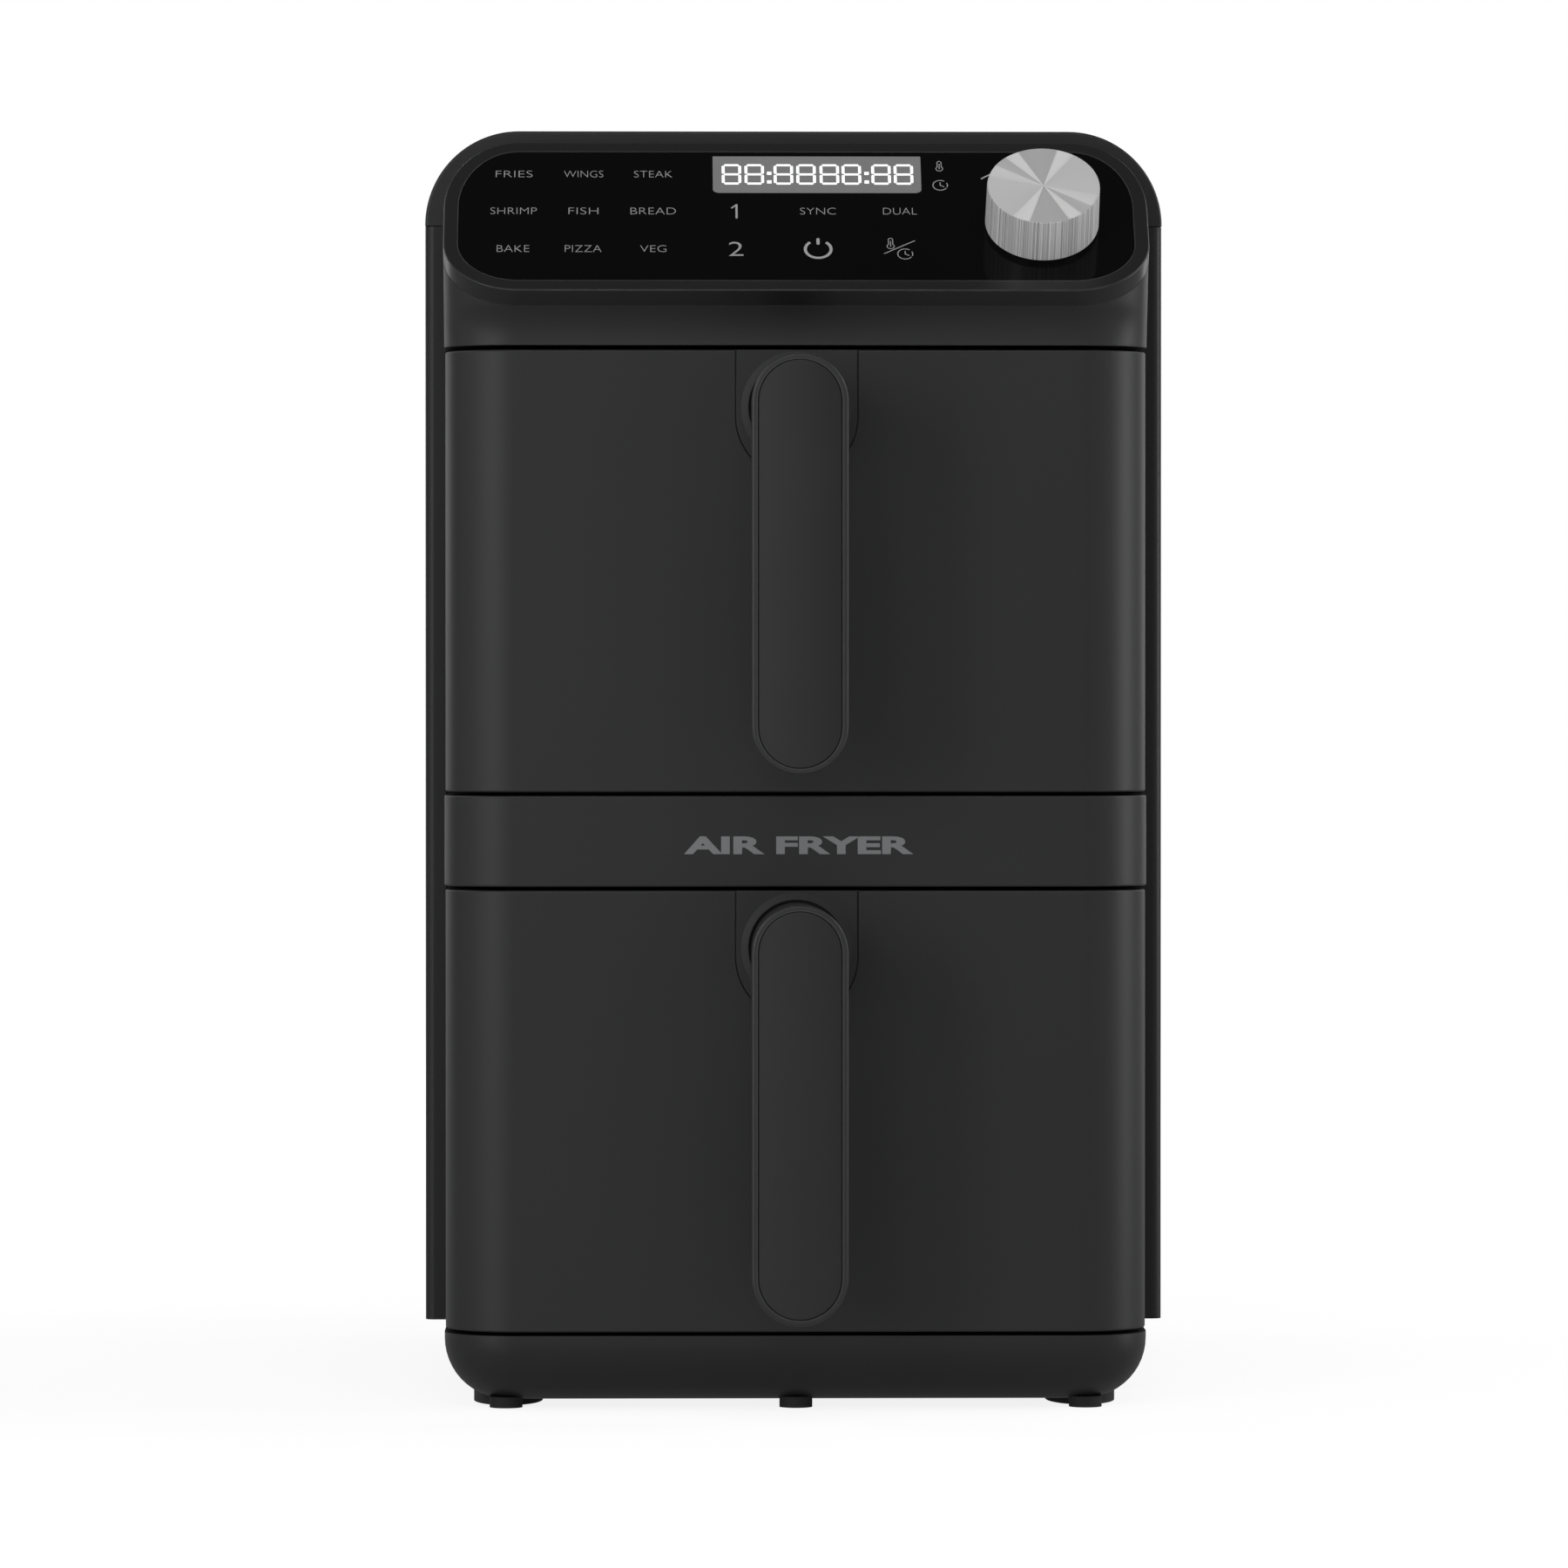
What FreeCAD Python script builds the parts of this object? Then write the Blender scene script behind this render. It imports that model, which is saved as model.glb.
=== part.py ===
import FreeCAD, Part
import math
import os

from FreeCAD import Placement, Rotation, Vector

# Stacked two-drawer air fryer, in millimetres.
# X runs to the right, Y to the back and Z up. The origin is on the worktop, under the
# middle of the box that holds the whole appliance, handles included.

# --- Driving dimensions -----------------------------------------------------------------
BODY_WIDTH = 235.6          # outside of the two side panels
BODY_TOP = 404.9            # highest point, on the top cover
HANDLE_FRONT = -183.0       # front face of the two handles
REAR_FACE = 183.0           # rearmost point, on the cord gland
FRONT_WIDTH = 222.0         # waist, base and control head
DRAWER_WIDTH = 221.3        # drawer fronts, a little narrower than the waist
FRONT_FACE = -127.0         # plane of the two drawer fronts
SHELL_FRONT = -75.0         # front edge of the side panels and the top cover
SHELL_REAR = 176.0          # rear edge of the same shell
SHELL_BOTTOM = 24.9         # lower edge of the side panels
COVER_SEAM = 374.4          # joint between the top cover and the side panels
CORNER_RADIUS = 22.0        # upright corners of everything in front of the shell
DRAWER_HEIGHT = 138.8
DRAWER_BOTTOMS = {"upper": 194.3, "lower": 24.7}

# --- Derived planes ----------------------------------------------------------------------
HALF_BODY = BODY_WIDTH / 2
HALF_FRONT = FRONT_WIDTH / 2
HALF_DRAWER = DRAWER_WIDTH / 2
SHELL_SKIN = 1.8            # sheet of the side panels
COVER_SKIN = 2.2            # plastic of the top cover
TOP_RADIUS = 30.0           # upper long corners of the top cover
FRAME_FRONT = SHELL_FRONT + SHELL_SKIN      # front face of the steel front frame
FRAME_SHEET = 2.0
FRAME_REAR = FRAME_FRONT + FRAME_SHEET

# --- Base --------------------------------------------------------------------------------
BASE_BOTTOM = 2.4
BASE_TOP = 23.6
BASE_REAR = 172.0
BASE_WALL = 2.5
BASE_FILLET = 19.2
FOOT_SEAT = 3.4             # feet are let into the base up to this height
PEG_RADIUS = 5.2
PEG_X = 91.5
PEG_Y = FRONT_FACE + 16.0
PAD_X = 91.2
PAD_HALF_WIDTH = 11.0
PAD_HALF_LENGTH = 22.0
PAD_ROWS = (FRONT_FACE + 44.0, 122.0)

# --- Cord entry --------------------------------------------------------------------------
GLAND_X = 84.0
GLAND_Z = 52.0
GLAND_BORE = 3.6            # radius, for a 7 mm mains lead
GLAND_BARREL = 7.5

# --- Cavities ----------------------------------------------------------------------------
CAVITY_HALF = 104.0         # outside of the oven liner
CAVITY_SHEET = 1.0
CAVITY_HEIGHT = 135.0
CAVITY_LIFT = 1.8           # liner floor above the drawer's lower edge
CAVITY_REAR = 141.0
CAVITY_FLANGE = 3.5
GUARD_Y = 117.5
GUARD_SHEET = 1.0
SHAFT_RADIUS = 3.0
SHAFT_CLEARANCE = 0.05

# --- Pans --------------------------------------------------------------------------------
PAN_HALF = 99.0
PAN_REAR = 112.0
PAN_HEIGHT = 112.0
PAN_LIFT = 3.8              # pan floor above the drawer's lower edge
PAN_WALL = 1.2
PAN_RIM = 2.2
PAN_RIM_DEPTH = 1.5
PAN_CORNER = 20.0
PAN_FLOOR_FILLET = 9.0
LINER_REAR = -76.4          # back of the plate that closes a drawer front
LINER_SHEET = 2.4
DRAWER_WALL = 2.6
PLATE_LIFT = 14.0           # crisper plate above the outside of the pan floor
PLATE_SHEET = 1.4

# --- Handles -----------------------------------------------------------------------------
HANDLE_WIDTH = 29.8
HANDLE_TOP_GAP = 3.8        # below the drawer's upper edge
HANDLE_BOTTOM_GAP = 6.7     # above the drawer's lower edge
HANDLE_DEPTH = 15.0
HANDLE_ROUND = 5.0
INLAY_WIDTH = 26.0
INLAY_SHEET = 1.2
STEM_RADIUS = 12.5
ESCUTCHEON_HALF = 19.0
ESCUTCHEON_STRAIGHT = 22.5
ESCUTCHEON_GROOVE = 0.4
DISH_RADIUS = 17.5
DISH_DEPTH = 1.0

# --- Control head ------------------------------------------------------------------------
SLAB_EDGE = Vector(0, -136.0, 351.3)        # middle of the panel's lower front edge
SLAB_TILT = 45.0
SLAB_LENGTH = 69.7                          # up the slope
SLAB_THICK = 6.7
SLAB_LOWER_CORNER = (24.0, 22.0)
SLAB_UPPER_CORNER = (23.5, 31.0)
SLAB_RIM = 4.6
GLASS_THICK = 2.0
HEAD_BOTTOM = 334.4
HEAD_WALL = 2.4
DIAL_X = 77.4
DIAL_V = 30.2
DIAL_RADIUS = 17.9
DIAL_TOP_RADIUS = 17.7
DIAL_GAP = 1.3
DIAL_TOP = 16.9
STEM_SHAFT = 3.0            # radius of the encoder's shaft
STEM_TOP = 12.0
ENCODER_HALF = 7.0
ENCODER_FLOOR = -12.0
CONTROL_BOARD_TOP = 11.0    # depth of the board's face below the panel's surface
DISPLAY_X = 6.9
DISPLAY_V = 54.5
DISPLAY_SIZE = (66.0, 17.4)

SLAB_FRAME = Placement(SLAB_EDGE, Rotation(Vector(1, 0, 0), SLAB_TILT))
QUARTER_WEIGHT = math.sqrt(0.5)             # middle weight of an exact quarter ellipse


# --- Shape helpers -----------------------------------------------------------------------
def box(x_range, y_range, z_range):
    """Block between two values on each axis."""
    corner = Vector(x_range[0], y_range[0], z_range[0])
    return Part.makeBox(
        x_range[1] - x_range[0],
        y_range[1] - y_range[0],
        z_range[1] - z_range[0],
        corner,
    )


def rod(radius, start, end):
    """Round rod from one point to another."""
    run = Vector(*end) - Vector(*start)
    return Part.makeCylinder(radius, run.Length, Vector(*start), run)


def mirror_x(shape):
    """The same shape on the other side of the middle plane."""
    return shape.mirror(Vector(0, 0, 0), Vector(1, 0, 0))


def quarter(start, tip, end):
    """Quarter circle, or quarter ellipse, that rounds the square corner at tip."""
    if abs((tip - start).Length - (end - tip).Length) < 1e-6:
        centre = start + end - tip
        middle = centre + (tip - centre) * QUARTER_WEIGHT
        return Part.Arc(start, middle, end).toShape()
    curve = Part.BSplineCurve()
    poles = [start, tip, end]
    weights = [1.0, QUARTER_WEIGHT, 1.0]
    curve.buildFromPolesMultsKnots(poles, [3, 3], [0.0, 1.0], False, 2, weights)
    return curve.toShape()


def rounded_wire(x_range, y_range, low_corner, high_corner, height=0.0):
    """Closed outline of a rectangle in an XY plane with rounded corners.

    low_corner and high_corner are the (x, y) reaches of the corners at low and high Y.
    """
    x0, x1 = x_range
    y0, y1 = y_range
    la, lb = low_corner
    ha, hb = high_corner

    def at(x, y):
        return Vector(x, y, height)

    corners = [
        (at(x1 - la, y0), at(x1, y0), at(x1, y0 + lb)),
        (at(x1, y1 - hb), at(x1, y1), at(x1 - ha, y1)),
        (at(x0 + ha, y1), at(x0, y1), at(x0, y1 - hb)),
        (at(x0, y0 + lb), at(x0, y0), at(x0 + la, y0)),
    ]
    edges = []
    before = corners[-1][2]
    for start, tip, end in corners:
        edges.append(Part.makeLine(before, start))
        if (end - start).Length > 0:
            edges.append(quarter(start, tip, end))
        before = end
    return Part.Wire(edges)


def rounded_block(x_range, y_range, z_range, front_radius, rear_radius):
    """Upright block with round vertical corners."""
    front = (front_radius, front_radius)
    rear = (rear_radius, rear_radius)
    wire = rounded_wire(x_range, y_range, front, rear, z_range[0])
    return Part.Face(wire).extrude(Vector(0, 0, z_range[1] - z_range[0]))


def fillet_level(shape, radius, height):
    """Round every edge that lies wholly at one height."""
    edges = [
        edge for edge in shape.Edges
        if abs(edge.BoundBox.ZMin - height) < 0.01 and abs(edge.BoundBox.ZMax - height) < 0.01
    ]
    return shape.makeFillet(radius, edges)


def arch_prism(half_width, bottom, top, radius, y_range):
    """Prism along Y whose section is a rectangle with its two upper corners rounded."""
    y0 = y_range[0]
    edges = [
        Part.makeLine(Vector(-half_width, y0, bottom), Vector(half_width, y0, bottom)),
        Part.makeLine(Vector(half_width, y0, bottom), Vector(half_width, y0, top - radius)),
        quarter(
            Vector(half_width, y0, top - radius),
            Vector(half_width, y0, top),
            Vector(half_width - radius, y0, top),
        ),
        Part.makeLine(
            Vector(half_width - radius, y0, top), Vector(radius - half_width, y0, top)
        ),
        quarter(
            Vector(radius - half_width, y0, top),
            Vector(-half_width, y0, top),
            Vector(-half_width, y0, top - radius),
        ),
        Part.makeLine(Vector(-half_width, y0, top - radius), Vector(-half_width, y0, bottom)),
    ]
    return Part.Face(Part.Wire(edges)).extrude(Vector(0, y_range[1] - y_range[0], 0))


def stadium(width, low, high, y_range):
    """Upright plate with full round ends, centred on X, between two depths."""
    radius = width / 2
    middle = box((-radius, radius), y_range, (low + radius, high - radius))
    ends = [
        rod(radius, (0, y_range[0], level), (0, y_range[1], level))
        for level in (low + radius, high - radius)
    ]
    return middle.fuse(ends).removeSplitter()


def group(shapes):
    """Several separate solids kept together in one node."""
    return Part.makeCompound(shapes)


# --- Base and feet -----------------------------------------------------------------------
def front_feet():
    """Three small round feet in a row under the front edge."""
    return group([
        rod(PEG_RADIUS, (x, PEG_Y, 0), (x, PEG_Y, FOOT_SEAT)) for x in (-PEG_X, 0, PEG_X)
    ])


def base_pads():
    """Four long oval rubber pads that carry the weight."""
    pads = []
    for x in (-PAD_X, PAD_X):
        for y in PAD_ROWS:
            ellipse = Part.Ellipse(
                Vector(x, y + PAD_HALF_LENGTH, 0), Vector(x + PAD_HALF_WIDTH, y, 0), Vector(x, y, 0)
            )
            face = Part.Face(Part.Wire([ellipse.toShape()]))
            pads.append(face.extrude(Vector(0, 0, FOOT_SEAT)))
    return group(pads)


def base_screws():
    """Six screws that hold the base to the frame, sunk into its underside."""
    head_radius = 3.6
    shank_radius = 1.6
    head_height = 1.5
    length = 14.0
    screws = []
    for x in (-58.0, 58.0):
        for y in (-88.0, 20.0, 128.0):
            head = rod(head_radius, (x, y, BASE_BOTTOM), (x, y, BASE_BOTTOM + head_height))
            shank = rod(shank_radius, (x, y, BASE_BOTTOM), (x, y, BASE_BOTTOM + length))
            screws.append(head.fuse(shank).removeSplitter())
    return group(screws)


def base_tray():
    """Plastic base with a rounded underside, a front deck, bosses and air slots."""
    deck_rear = SHELL_FRONT + 2.0
    boss_radius = 4.5
    slot_half_width = 2.0
    outer = rounded_block(
        (-HALF_FRONT, HALF_FRONT), (FRONT_FACE, BASE_REAR), (BASE_BOTTOM, BASE_TOP),
        CORNER_RADIUS, CORNER_RADIUS,
    )
    outer = fillet_level(outer, BASE_FILLET, BASE_BOTTOM)
    inner_half = HALF_FRONT - BASE_WALL
    inner_radius = CORNER_RADIUS - BASE_WALL
    inner = rounded_block(
        (-inner_half, inner_half), (FRONT_FACE + BASE_WALL, BASE_REAR - BASE_WALL),
        (BASE_BOTTOM + BASE_WALL, BASE_TOP + 1.0), inner_radius, inner_radius,
    )
    inner = fillet_level(inner, BASE_FILLET - BASE_WALL, BASE_BOTTOM + BASE_WALL)
    deck = box((-HALF_BODY, HALF_BODY), (FRONT_FACE, deck_rear), (BASE_TOP - BASE_WALL, BASE_TOP + 2))
    tray = outer.cut(inner.cut(deck))
    bosses = []
    for screw in base_screws().Solids:
        centre = screw.CenterOfMass
        top = BASE_TOP - BASE_WALL
        bosses.append(rod(boss_radius, (centre.x, centre.y, BASE_BOTTOM + 1.0), (centre.x, centre.y, top)))
    tray = tray.fuse(bosses)
    slots = [
        box((-36.0, 36.0), (y - slot_half_width, y + slot_half_width), (0, BASE_BOTTOM + 4.0))
        for y in range(-30, 121, 15)
    ]
    return tray.cut([*slots, front_feet(), base_pads(), base_screws()]).removeSplitter()


# --- Outer shell -------------------------------------------------------------------------
def right_side_panel():
    """Folded steel side with flanges turned in at the front, rear and lower edges."""
    front_flange = HALF_FRONT + 0.2
    rear_flange = HALF_BODY - 12.0
    lower_flange = HALF_BODY - 7.0
    fold = 3.0
    outer_edge = (SHELL_FRONT, SHELL_REAR)
    levels = (SHELL_BOTTOM, COVER_SEAM)
    solid = box((0, HALF_BODY), outer_edge, levels)
    upright = [
        edge for edge in solid.Edges
        if edge.BoundBox.ZLength > 100 and edge.BoundBox.XMin > HALF_BODY - 1
    ]
    solid = solid.makeFillet(fold, upright)
    inside = HALF_BODY - SHELL_SKIN
    core = box((0, inside), (SHELL_FRONT + SHELL_SKIN, SHELL_REAR - SHELL_SKIN),
               (SHELL_BOTTOM + SHELL_SKIN, COVER_SEAM + 1.0))
    upright = [
        edge for edge in core.Edges
        if edge.BoundBox.ZLength > 100 and edge.BoundBox.XMin > inside - 1
    ]
    core = core.makeFillet(fold - SHELL_SKIN, upright)
    panel = solid.cut(core)
    cuts = [
        box((0, front_flange), (SHELL_FRONT - 1, 0), (0, BODY_TOP)),
        box((0, rear_flange), (0, SHELL_REAR + 1), (0, BODY_TOP)),
        box((0, lower_flange), (SHELL_FRONT + SHELL_SKIN, SHELL_REAR - SHELL_SKIN), (0, 60)),
    ]
    return panel.cut([*cuts, rear_cover_screws()]).removeSplitter()


def top_cover():
    """Curved plastic lid with a narrow lip turned down at its front and rear ends."""
    lip = 6.8
    gap = 0.3
    bottom = COVER_SEAM + gap
    outer = arch_prism(HALF_BODY, bottom, BODY_TOP, TOP_RADIUS, (SHELL_FRONT, SHELL_REAR))
    hollow = arch_prism(
        HALF_BODY - COVER_SKIN, bottom - 1, BODY_TOP - COVER_SKIN, TOP_RADIUS - COVER_SKIN,
        (FRAME_FRONT, SHELL_REAR - COVER_SKIN),
    )
    window = arch_prism(
        HALF_BODY - lip, bottom - 1, BODY_TOP - lip, TOP_RADIUS - lip,
        (SHELL_FRONT - 1, SHELL_REAR + 1),
    )
    return outer.cut([hollow, window])


def front_frame():
    """Steel sheet behind the drawer fronts, with one opening for each cavity."""
    inset = 3.2
    sheet = arch_prism(
        HALF_BODY - inset, BASE_TOP, BODY_TOP - inset, TOP_RADIUS - inset,
        (FRAME_FRONT, FRAME_REAR),
    )
    low_corners = [
        box((side * HALF_BODY - 8, side * HALF_BODY + 8), (SHELL_FRONT, 0),
            (0, SHELL_BOTTOM + SHELL_SKIN + 0.2))
        for side in (-1, 1)
    ]
    openings = []
    for level in DRAWER_BOTTOMS.values():
        floor = level + CAVITY_LIFT + CAVITY_SHEET
        ceiling = level + CAVITY_LIFT + CAVITY_HEIGHT - CAVITY_SHEET
        half = CAVITY_HALF - CAVITY_SHEET
        openings.append(box((-half, half), (SHELL_FRONT, 0), (floor, ceiling)))
    cable_way = box((-60, 60), (SHELL_FRONT, 0), (HEAD_BOTTOM + 8, HEAD_BOTTOM + 30))
    return sheet.cut([*low_corners, *openings, cable_way, drawer_switches()])


def rear_cover_screws():
    """Eight screws round the edge of the rear cover."""
    head_radius = 3.5
    head_height = 1.6
    shank_radius = 1.5
    face = REAR_FACE - 2.0
    screws = []
    for x in (-107.0, 107.0):
        for z in (42.0, 150.0, 258.0, 366.0):
            head = rod(head_radius, (x, face, z), (x, face + head_height, z))
            shank = rod(shank_radius, (x, face - 9.0, z), (x, face + head_height, z))
            screws.append(head.fuse(shank).removeSplitter())
    return group(screws)


def cord_gland():
    """Flanged bush that guides a 7 mm mains lead through the rear cover."""
    flange = rod(10.0, (GLAND_X, REAR_FACE - 2.0, GLAND_Z), (GLAND_X, REAR_FACE, GLAND_Z))
    barrel = rod(GLAND_BARREL, (GLAND_X, REAR_FACE - 14.0, GLAND_Z), (GLAND_X, REAR_FACE, GLAND_Z))
    bore = rod(GLAND_BORE, (GLAND_X, REAR_FACE - 15.0, GLAND_Z), (GLAND_X, REAR_FACE + 1, GLAND_Z))
    return flange.fuse(barrel).cut(bore).removeSplitter()


def rear_cover():
    """Dished plastic back with two fields of air slots."""
    face = REAR_FACE - 2.0
    wall = 2.2
    rounding = 3.0
    outer = arch_prism(HALF_BODY, SHELL_BOTTOM, BODY_TOP, TOP_RADIUS, (SHELL_REAR, face))
    rim = [edge for edge in outer.Edges if edge.BoundBox.YMin > face - 0.01]
    outer = outer.makeFillet(rounding, rim)
    hollow = arch_prism(
        HALF_BODY - wall, SHELL_BOTTOM + wall, BODY_TOP - wall, TOP_RADIUS - wall,
        (SHELL_REAR - 1, face - wall),
    )
    ledge = arch_prism(
        HALF_BODY - 12, SHELL_BOTTOM + 12, BODY_TOP - 12, TOP_RADIUS - 12,
        (SHELL_REAR - 2, face - wall),
    )
    cover = outer.cut(hollow.common(ledge))
    cuts = [cord_gland(), rear_cover_screws()]
    gland_hole = rod(GLAND_BARREL, (GLAND_X, SHELL_REAR - 2, GLAND_Z), (GLAND_X, face + 1, GLAND_Z))
    cuts.append(gland_hole)
    slot_height = 2.6
    for level in DRAWER_BOTTOMS.values():
        middle = level + DRAWER_HEIGHT / 2
        for row in range(-6, 7):
            z = middle + row * 7.0
            reach = math.sqrt(56.0 ** 2 - (row * 7.0) ** 2)
            cuts.append(box((-reach, -2.0), (face - 6, face + 1), (z, z + slot_height)))
            cuts.append(box((2.0, reach), (face - 6, face + 1), (z, z + slot_height)))
    return cover.cut(cuts)


def waist_band():
    """Fixed band between the two drawers, a box open at the back."""
    bottom = DRAWER_BOTTOMS["lower"] + DRAWER_HEIGHT + 1.1
    top = DRAWER_BOTTOMS["upper"] - 1.1
    wall = 2.5
    outer = rounded_block(
        (-HALF_FRONT, HALF_FRONT), (FRONT_FACE, FRAME_FRONT), (bottom, top), CORNER_RADIUS, 0.0
    )
    inner = rounded_block(
        (wall - HALF_FRONT, HALF_FRONT - wall), (FRONT_FACE + wall, FRAME_FRONT + 1),
        (bottom + wall, top - wall), CORNER_RADIUS - wall, 0.0,
    )
    return outer.cut(inner)


def upright_seal(level):
    """Silicone gasket round one cavity opening, on the front frame."""
    half = CAVITY_HALF - CAVITY_SHEET
    floor = level + CAVITY_LIFT + CAVITY_SHEET
    ceiling = level + CAVITY_LIFT + CAVITY_HEIGHT - CAVITY_SHEET
    depth = (FRAME_FRONT - 3.0, FRAME_FRONT)
    width = 1.6
    outer = box((-half - width, half + width), depth, (floor - width, ceiling + width))
    inner = box((-half, half), (depth[0] - 1, depth[1] + 1), (floor, ceiling))
    return outer.cut(inner)


def drawer_switches():
    """Two microswitches behind the front frame, with the pins that the drawers press."""
    pin_x = 109.6
    pin_radius = 0.8
    pin_end = LINER_REAR + 0.4
    shapes = []
    for level in DRAWER_BOTTOMS.values():
        z = level + DRAWER_HEIGHT / 2
        body = box((107.9, 114.6), (FRAME_REAR, FRAME_REAR + 20.0), (z - 5, z + 5))
        pin = rod(pin_radius, (pin_x, pin_end, z), (pin_x, FRAME_REAR, z))
        shapes.append(body.fuse(pin))
    return group(shapes)


# --- One cavity and its fittings, placed by the lower edge of its drawer -----------------
def cavity_middle(level):
    """Height of the fan axis of the cavity behind a drawer."""
    return level + CAVITY_LIFT + CAVITY_HEIGHT / 2


def heater(level):
    """Two linked rings of sheathed element, with terminals out through the rear wall."""
    tube = 3.2
    middle = cavity_middle(level)
    ring_y = 127.0
    rings = [
        Part.makeTorus(radius, tube, Vector(0, ring_y, middle), Vector(0, 1, 0))
        for radius in (57.0, 46.5)
    ]
    link = rod(tube, (0, ring_y, middle + 46.5), (0, ring_y, middle + 57.0))
    terminals = [
        rod(2.2, (x, ring_y, middle - 57.0 + 0.4), (x, CAVITY_REAR + 9.0, middle - 57.0 + 0.4))
        for x in (-6.0, 6.0)
    ]
    return rings[0].fuse([rings[1], link, *terminals])


def fan_guard(level):
    """Perforated steel sheet in front of the heater and the fan."""
    half = CAVITY_HALF - CAVITY_SHEET
    floor = level + CAVITY_LIFT + CAVITY_SHEET
    ceiling = level + CAVITY_LIFT + CAVITY_HEIGHT - CAVITY_SHEET
    depth = (GUARD_Y, GUARD_Y + GUARD_SHEET)
    sheet = box((-half, half), depth, (floor, ceiling))
    middle = cavity_middle(level)
    hole = 2.6
    holes = []
    for ring in range(1, 7):
        count = 6 * ring
        for step in range(count):
            angle = 2 * math.pi * step / count
            x = ring * 8.6 * math.cos(angle)
            z = middle + ring * 8.6 * math.sin(angle)
            holes.append(rod(hole, (x, depth[0] - 1, z), (x, depth[1] + 1, z)))
    return sheet.cut(holes)


def cavity(level):
    """Aluminised steel oven liner, open at the front, with a flange on the front frame."""
    bottom = level + CAVITY_LIFT
    top = bottom + CAVITY_HEIGHT
    outer = box((-CAVITY_HALF, CAVITY_HALF), (FRAME_REAR, CAVITY_REAR), (bottom, top))
    flange_half = CAVITY_HALF + CAVITY_FLANGE
    flange = box(
        (-flange_half, flange_half), (FRAME_REAR, FRAME_REAR + CAVITY_SHEET),
        (bottom, top + CAVITY_FLANGE),
    )
    inner = box(
        (CAVITY_SHEET - CAVITY_HALF, CAVITY_HALF - CAVITY_SHEET),
        (FRAME_REAR - 1, CAVITY_REAR - CAVITY_SHEET),
        (bottom + CAVITY_SHEET, top - CAVITY_SHEET),
    )
    middle = cavity_middle(level)
    shaft_hole = rod(5.0, (0, CAVITY_REAR - 3, middle), (0, CAVITY_REAR + 1, middle))
    exhaust = [
        box((x, x + 3.0), (CAVITY_REAR - 3, CAVITY_REAR + 1), (top - 30.0, top - 12.0))
        for x in (-92.0, -86.0, -80.0, -74.0)
    ]
    cuts = [inner, shaft_hole, heater(level), sensor(level), *exhaust]
    return outer.fuse(flange).cut(cuts)


def motor(level):
    """Fan motor: a stator drum on four posts against the rear wall of the cavity."""
    middle = cavity_middle(level)
    front = CAVITY_REAR + 5.0
    rear = CAVITY_REAR + 22.0
    drum = rod(23.0, (0, front, middle), (0, rear, middle))
    posts = []
    for x in (-17.0, 17.0):
        for z in (middle - 17.0, middle + 17.0):
            posts.append(rod(3.0, (x, CAVITY_REAR, z), (x, front + 2, z)))
    tunnel = rod(SHAFT_RADIUS + SHAFT_CLEARANCE, (0, front - 1, middle), (0, rear + 1, middle))
    return drum.fuse(posts).cut(tunnel)


def motor_shaft(level):
    """Steel shaft that carries both fans."""
    middle = cavity_middle(level)
    return rod(SHAFT_RADIUS, (0, GUARD_Y + 4.0, middle), (0, CAVITY_REAR + 32.0, middle))


def bladed_wheel(level, radius, hub, blades, y_range, disc_side):
    """Fan wheel: a hub and a thin disc with straight radial blades on one side."""
    middle = cavity_middle(level)
    disc_sheet = 1.0
    blade_sheet = 1.0
    y0, y1 = y_range
    if disc_side == "rear":
        disc = rod(radius, (0, y1 - disc_sheet, middle), (0, y1, middle))
    else:
        disc = rod(radius, (0, y0, middle), (0, y0 + disc_sheet, middle))
    solids = [rod(hub, (0, y0, middle), (0, y1, middle))]
    for step in range(blades):
        blade = box((hub - 1, radius - 1), (y0, y1), (-blade_sheet / 2, blade_sheet / 2))
        blade.rotate(Vector(0, 0, 0), Vector(0, 1, 0), 360.0 * step / blades)
        blade.translate(Vector(0, 0, middle))
        solids.append(blade)
    bore = rod(SHAFT_RADIUS, (0, y0 - 1, middle), (0, y1 + 1, middle))
    return disc.fuse(solids).cut(bore)


def impeller(level):
    """Hot-air wheel inside the heater rings."""
    return bladed_wheel(level, 39.0, 7.0, 12, (GUARD_Y + 6.0, GUARD_Y + 17.0), "rear")


def cooling_fan(level):
    """Cold-air wheel behind the motor."""
    return bladed_wheel(level, 30.0, 6.0, 9, (CAVITY_REAR + 24.0, CAVITY_REAR + 31.0), "front")


def rim_height(level):
    """Top face of the pan behind a drawer."""
    return level + PAN_LIFT + PAN_HEIGHT


def runners(level):
    """Two steel rails on the cavity walls, which carry the rim of the pan."""
    gap = 0.3
    top = rim_height(level) - PAN_RIM_DEPTH - gap
    inside = PAN_HALF + 0.6
    wall = CAVITY_HALF - CAVITY_SHEET
    lip = 1.5
    foot = 10.0
    ledge = box((inside, wall), (FRAME_REAR + 3, GUARD_Y - 1), (top - lip, top))
    web = box((wall - lip, wall), (FRAME_REAR + 3, GUARD_Y - 1), (top - foot, top))
    rail = ledge.fuse(web).removeSplitter()
    return group([rail, mirror_x(rail)])


def sensor(level):
    """Air temperature probe let down through the roof of the cavity."""
    roof = level + CAVITY_LIFT + CAVITY_HEIGHT
    x = 60.0
    y = 100.0
    probe = rod(2.0, (x, y, roof - 13.0), (x, y, roof + 5.0))
    nut = rod(4.5, (x, y, roof), (x, y, roof + 3.0))
    return probe.fuse(nut).removeSplitter()


def temperature_sensors():
    """The two air temperature probes."""
    return group([sensor(level) for level in DRAWER_BOTTOMS.values()])


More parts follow.
